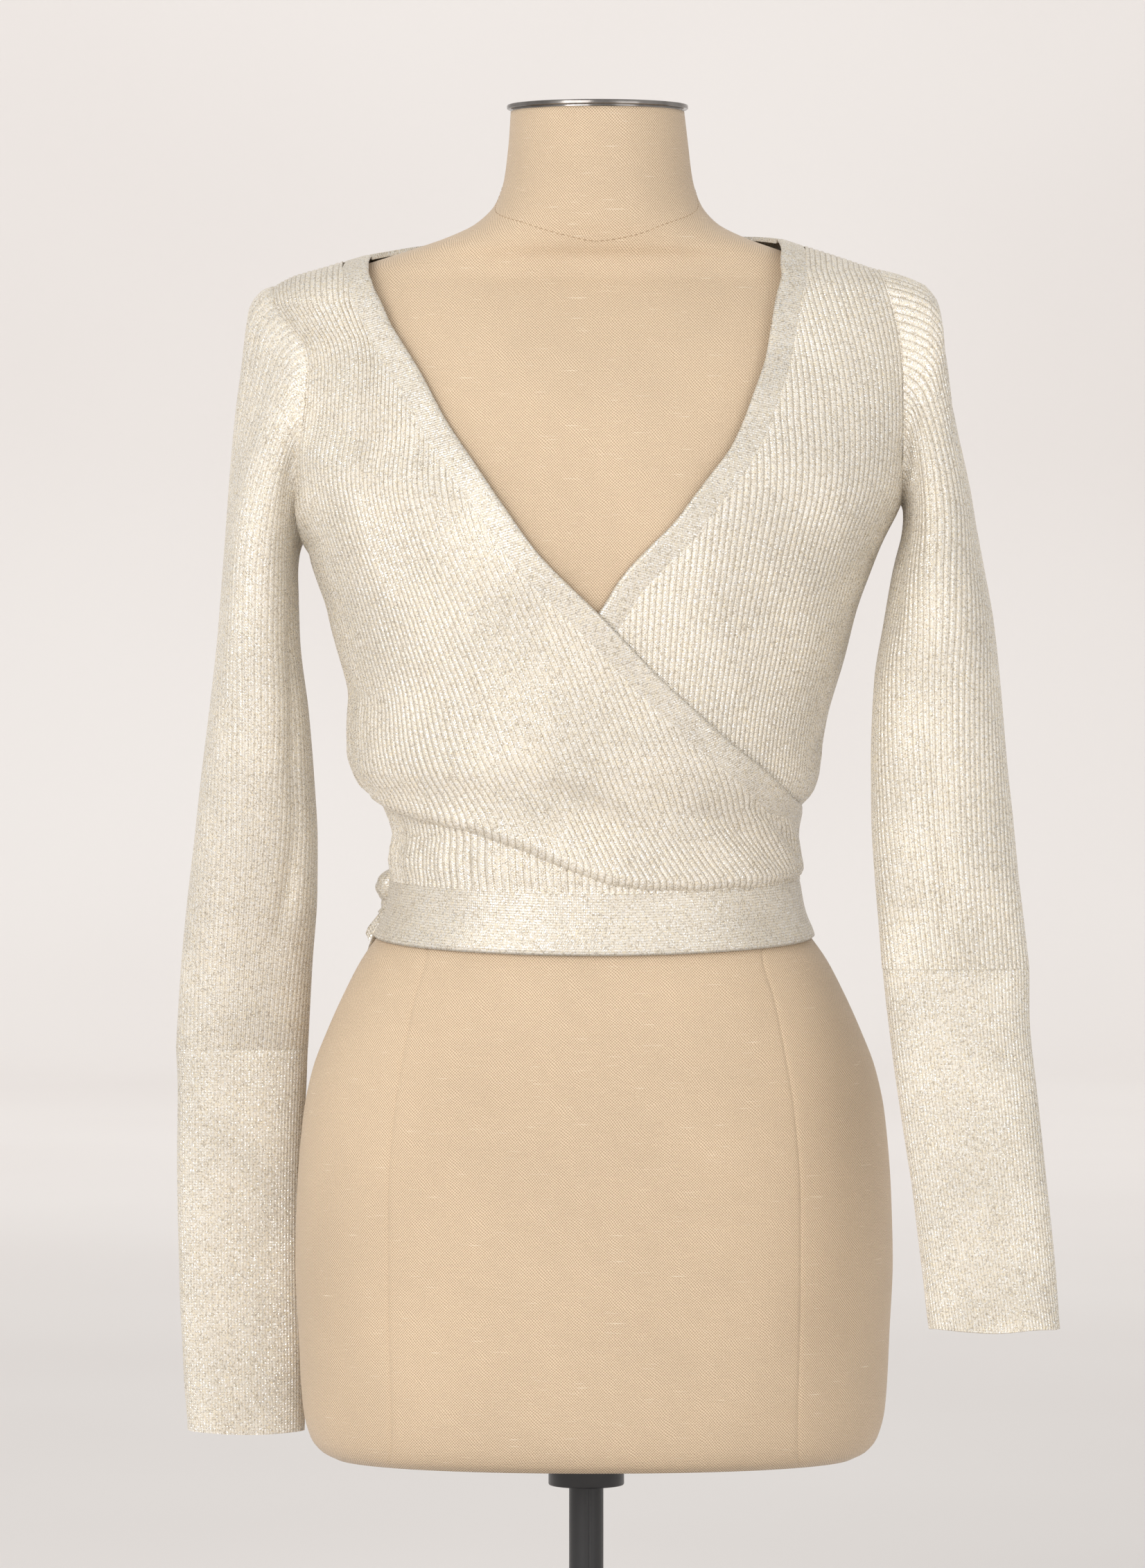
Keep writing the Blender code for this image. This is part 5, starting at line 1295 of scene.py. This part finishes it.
class Look:
    """A material in the making: its nodes, its shader's inputs and its coordinates."""

    def __init__(self, name):
        self.material = bpy.data.materials.new(name)
        self.material.use_nodes = True
        self.tree = self.material.node_tree
        self.shader = self.tree.nodes["Principled BSDF"].inputs
        coordinates = self.tree.nodes.new("ShaderNodeTexCoord").outputs
        self.uv, self.place = coordinates["UV"], coordinates["Object"]

    def put(self, inputs, values):
        """Gives inputs their values: numbers, colours or the outputs of other nodes."""
        for key, value in values.items():
            if isinstance(value, bpy.types.NodeSocket):
                self.tree.links.new(value, inputs[key])
            elif isinstance(value, tuple):
                inputs[key].default_value = value + (1,) * (len(inputs[key].default_value) - len(value))
            else:
                inputs[key].default_value = value

    def add(self, kind, values, **settings):
        """Makes a node with settings and values for its inputs, and returns its outputs."""
        made = self.tree.nodes.new("ShaderNode" + kind)
        for setting, value in settings.items():
            setattr(made, setting, value)
        self.put(made.inputs, values)
        return made.outputs

    def calc(self, operation, *values):
        """The result of a calculation with numbers or outputs."""
        return self.add("Math", dict(enumerate(values)), operation=operation)[0]

    def step(self, value, low, high, to_low=0.0, to_high=1.0):
        """A soft step of a value between two limits."""
        limits = {"Value": value, "From Min": low, "From Max": high, "To Min": to_low, "To Max": to_high}
        return self.add("MapRange", limits, interpolation_type="SMOOTHSTEP")["Result"]

    def mix(self, share, first, second):
        """A mix of two colours."""
        return self.add("Mix", {0: share, 6: first, 7: second}, data_type="RGBA")[2]

    def noise(self, vector, scale, detail, stretch=None):
        """A noise value over a vector, stretched where asked."""
        if stretch:
            vector = self.add("Mapping", {"Vector": vector, "Scale": stretch})["Vector"]
        return self.add("TexNoise", {"Vector": vector, "Scale": scale, "Detail": detail})["Fac"]

    def cells(self, scale):
        """Three random numbers in each small cell of the object's space."""
        colour = self.add("TexVoronoi", {"Vector": self.place, "Scale": scale})["Color"]
        return self.add("SeparateColor", {"Color": colour})

    def toned(self, colour, value):
        """A colour made lighter or darker."""
        return self.add("HueSaturation", {"Color": colour, "Value": value})["Color"]

    def relief(self, height, distance, strength):
        """Raises the surface's small detail."""
        bump = self.add("Bump", {"Height": height, "Distance": distance, "Strength": strength})
        self.put(self.shader, {"Normal": bump["Normal"]})

    def finished(self, values):
        """The material, with its shader's values."""
        self.put(self.shader, values)
        return self.material


def knit_material(name, ribbed, groove_shade=GROOVE_SHADE):
    """Knitted metallic yarn: stitches, sparkle painted as white and gold glints and dark reflections, and
    painted shade in the ribs' grooves and between the courses.
    """
    look = Look(name)
    calc, step, mix = look.calc, look.step, look.mix
    across, along, _ = look.add("SeparateXYZ", {"Vector": look.uv})
    red, green, blue = look.cells(1500.0)
    coarse = look.cells(760.0)[0]
    broad = look.noise(look.place, 22.0, 4.0)

    def wave(value):
        return calc("MULTIPLY", calc("PINGPONG", value, 0.5), 2.0)

    if ribbed:
        # Painted shade: the narrow grooves between the ribs are marked for darkening
        groove = step(calc("PINGPONG", across, 0.5), 0.02, 0.14, 1.0, 0.0)
        slant = calc("MULTIPLY", calc("PINGPONG", across, 0.25), 2.6)
        stitch = wave(calc("ADD", along, slant))
    else:
        course = wave(calc("DIVIDE", across, COURSE))
        # Painted shade: the lines between the flat knit's courses are marked for darkening
        groove = step(course, 0.0, 0.36, 0.8, 0.0)
        stitch = wave(calc("DIVIDE", along, FLAT_STITCH))
        stitch = calc("ADD", calc("MULTIPLY", stitch, 0.35), calc("MULTIPLY", course, 0.65))
    # Painted sparkle: white painted glints on the red cells, which are also made metallic and glossy below
    # as the yarn's metallic filaments, gold painted glints on the green cells and dark painted reflections
    # on the blue cells
    yarn = mix(step(red, 0.55, 0.95), KNIT_BASE, KNIT_PAINTED_GLINT)
    yarn = mix(step(green, 0.74, 0.92, 0.0, 0.75), yarn, KNIT_GOLD_PAINTED_GLINT)
    yarn = mix(step(blue, 0.72, 0.9, 0.0, 0.7), yarn, KNIT_DARK_PAINTED_REFLECTION)
    # Larger cells lightened with painted glints as well
    yarn = mix(step(coarse, 0.25, 0.9, 0.0, 0.22), yarn, KNIT_PAINTED_GLINT)
    # The marked grooves and course lines are darkened towards the painted shade colour
    yarn = mix(calc("MULTIPLY", groove, groove_shade), yarn, KNIT_GROOVE_PAINTED_SHADE)
    tones = (0.89, 1.01) if ribbed else (0.80, 0.89)
    glint = step(red, 0.78, 0.9)
    height = calc("ADD", calc("MULTIPLY", stitch, 0.5), calc("MULTIPLY", green, 0.5))
    look.relief(height, 0.00045, 0.8)
    return look.finished({
        "Base Color": look.toned(yarn, step(broad, 0.3, 0.7, *tones)),
        "Metallic": calc("ADD", calc("MULTIPLY", glint, 0.45), 0.30),
        "Roughness": step(glint, 0.0, 1.0, 0.52, 0.26),
        "Sheen Weight": 0.25, "Sheen Roughness": 0.45, "Sheen Tint": (1.0, 0.95, 0.85)})


def linen_material():
    """Tan linen: a plain weave of crossing threads, a few pale slubs and a soft sheen."""
    look = Look("linen_weave")
    calc, step = look.calc, look.step
    ways = look.add("SeparateXYZ", {"Vector": look.uv})
    sway = calc("MULTIPLY", look.noise(look.uv, 0.06, 2.0), 3.0)
    crossing = calc("MULTIPLY", *[
        calc("COSINE", calc("MULTIPLY", calc("ADD", way, sway), math.pi / WEAVE_PITCH)) for way in ways[:2]])
    threads = calc("ADD", crossing, calc("MULTIPLY", look.noise(look.uv, 0.9, 3.0), 0.9))
    slub = look.noise(look.uv, 1.0, 3.0, (0.05, 1.5, 1.0))
    colour = look.mix(step(threads, -0.35, 1.15), LINEN_DARK, LINEN_BRIGHT)
    colour = look.mix(step(slub, 0.66, 0.76, 0.0, 0.7), colour, LINEN_SLUB)
    broad = look.noise(look.place, 7.0, 3.0)
    look.relief(calc("ADD", calc("ABSOLUTE", crossing), calc("MULTIPLY", slub, 0.8)), 0.0003, 0.7)
    return look.finished({"Base Color": look.toned(colour, step(broad, 0.3, 0.7, 0.95, 1.05)),
                          "Roughness": 0.5, "Sheen Weight": 0.15, "Sheen Roughness": 0.4})


def stitch_material():
    """Darker thread of the form's neck seam."""
    look = Look("seam_thread")
    uneven = look.step(look.noise(look.place, 700.0, 2.0), 0.3, 0.7)
    colour = look.mix(uneven, (0.30, 0.20, 0.12), (0.44, 0.31, 0.19))
    return look.finished({"Base Color": colour, "Roughness": 0.7})


def dark_metal_material():
    """Polished metal, darkened, with faint turning marks."""
    look = Look("polished_dark_metal")
    turning = look.noise(look.place, 60.0, 3.0, (1.0, 1.0, 40.0))
    cloudy = look.step(look.noise(look.place, 35.0, 4.0), 0.35, 0.7)
    look.relief(turning, 0.00005, 0.4)
    return look.finished({"Base Color": look.mix(cloudy, (0.13, 0.12, 0.115), (0.30, 0.28, 0.265)),
                          "Metallic": 1.0, "Roughness": look.step(turning, 0.3, 0.7, 0.14, 0.26)})


def satin_material():
    """Black satin paint with a very fine unevenness."""
    look = Look("black_satin_paint")
    cloudy = look.noise(look.place, 14.0, 3.0)
    colour = look.mix(look.step(cloudy, 0.3, 0.7), (0.012, 0.012, 0.013), (0.022, 0.022, 0.024))
    look.relief(look.noise(look.place, 900.0, 2.0), 0.00006, 0.5)
    return look.finished({"Base Color": colour, "Roughness": look.step(cloudy, 0.3, 0.7, 0.30, 0.40)})


def backdrop_material():
    """Pale matt paper."""
    look = Look("backdrop_paper")
    soft = look.step(look.noise(look.place, 0.8, 2.0), 0.3, 0.7)
    colour = look.mix(soft, (0.83, 0.80, 0.785), (0.86, 0.835, 0.82))
    return look.finished({"Base Color": colour, "Roughness": 0.9})


def backdrop():
    """A pale floor that sweeps up into a wall behind the object."""
    profile = [(-BACKDROP_REACH, 0.0), (WALL_FOOT, 0.0)]
    profile += [(WALL_FOOT + math.sin(a), 1 - math.cos(a)) for a in np.linspace(0, math.pi / 2, 25)[1:]]
    profile += [(WALL_FOOT + 1, WALL_HEIGHT)]
    rows = np.array([[(x, y, z - FLOOR_DROP) for x in (-BACKDROP_REACH, BACKDROP_REACH)]
                     for y, z in profile]) / MM
    faces = quads(np.arange(len(profile) * 2).reshape(-1, 2))
    obj = mesh_object("backdrop", rows.reshape(-1, 3), [faces], None, backdrop_material(), None, False)


def light(name, place, aim, size, power, colour):
    """A large soft light."""
    data = bpy.data.lights.new(name, "AREA")
    data.shape = "RECTANGLE"
    data.size, data.size_y = size
    data.energy = power
    data.color = colour
    obj = bpy.data.objects.new(name, data)
    obj.location = place
    way = Vector(aim) - Vector(place)
    obj.rotation_euler = way.to_track_quat("-Z", "Y").to_euler()
    bpy.context.scene.collection.objects.link(obj)


def surroundings():
    """Soft light, plain backdrop and the photograph's camera."""
    world = bpy.data.worlds.new("soft_room")
    world.use_nodes = True
    background = world.node_tree.nodes["Background"].inputs
    background["Color"].default_value = WORLD_COLOUR
    background["Strength"].default_value = WORLD_STRENGTH
    bpy.context.scene.world = world
    backdrop()
    light("key", (-1.7, -3.2, 1.9), (0, 0, 0.6), (2.2, 2.0), 80.0, (1.0, 0.985, 0.97))
    light("fill", (2.2, -2.8, 1.2), (0, 0, 0.55), (1.8, 2.2), 20.0, (1.0, 0.99, 0.98))
    light("wall", (-0.4, 5.3, 4.0), (0.0, WALL_FOOT + 0.6, 0.0), (4.0, 1.2), 48.0, (1.0, 0.98, 0.965))
    camera_data = bpy.data.cameras.new("camera")
    camera_data.sensor_width = SENSOR_WIDTH
    camera_data.lens = CAMERA_LENS
    camera = bpy.data.objects.new("camera", camera_data)
    camera.location = CAMERA_PLACE
    camera.rotation_euler = (math.pi / 2 - math.radians(CAMERA_TILT), 0, 0)
    bpy.context.scene.collection.objects.link(camera)
    bpy.context.scene.camera = camera
    view = bpy.context.scene.view_settings
    view.view_transform = "Standard"
    view.look = "None"


def declare(node, piece):
    """Looks up a piece's cut and what it rests on, and does nothing more with them."""
    cut = CUTS[node]
    list(cut.rests_on)


def main():
    """Builds every piece, puts it in its solid's place and sets up the surroundings."""
    rib_knit = knit_material("rib_knit_yarn", True)
    flat_knit = knit_material("flat_knit_yarn", False)
    # A copy of the rib knit with fainter painted shade in its grooves, for the brightly lit right sleeve and
    # cuff
    faint_shade_rib_knit = knit_material("rib_knit_yarn_faint_groove_shade", True, SOFT_GROOVE_SHADE)
    linen = linen_material()
    stand(dark_metal_material(), satin_material())
    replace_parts(form(linen), "form")
    neck_stitches(stitch_material())
    made_by = {
        "front_right": (panel, front_paths(RIGHT), top_front_lift, 1.0, FRONT_CREASES, rib_knit, True),
        "front_left": (panel, front_paths(LEFT), no_lift, 0.0, FRONT_CREASES, rib_knit, False, 0.4),
        "back": (panel, back_paths(), no_lift, 0.0, BACK_CREASES, rib_knit),
        "sleeve_right": (sleeve, RIGHT, faint_shade_rib_knit),
        "sleeve_left": (sleeve, LEFT, rib_knit),
        "cuff_right": (cuff, RIGHT, faint_shade_rib_knit),
        "cuff_left": (cuff, LEFT, rib_knit),
        "neckband_right": (neckband, RIGHT, flat_knit),
        "neckband_left": (neckband, LEFT, flat_knit),
        "neckband_back": (back_neckband, flat_knit),
        "waistband_right": (waistband, 0.004, WRAP_TURN, 1, flat_knit, 0.0, 0.015),
        "waistband_left": (waistband, 0.05, 0.996, 0, flat_knit),
        "waistband_back": (waistband, 1.0, 1.996, 0, flat_knit),
        "tie_right": (waistband, WRAP_TURN + 0.002, 1.915, 1, flat_knit, 1.0),
        "tie_left": (tie_left, flat_knit),
        "tie_knot": (tie_knot, flat_knit),
        "tie_loop": (tie_loop, flat_knit),
        "tie_end_right": (ribbon, TIE_END_RIGHT, flat_knit),
        "tie_end_left": (ribbon, TIE_END_LEFT, flat_knit),
    }
    pieces = {node: make("cloth_" + node, *values) for node, (make, *values) in made_by.items()}
    for node, piece in pieces.items():
        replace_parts(piece, node)
        if node != "tie_knot":
            declare(node, piece)
    surroundings()


main()
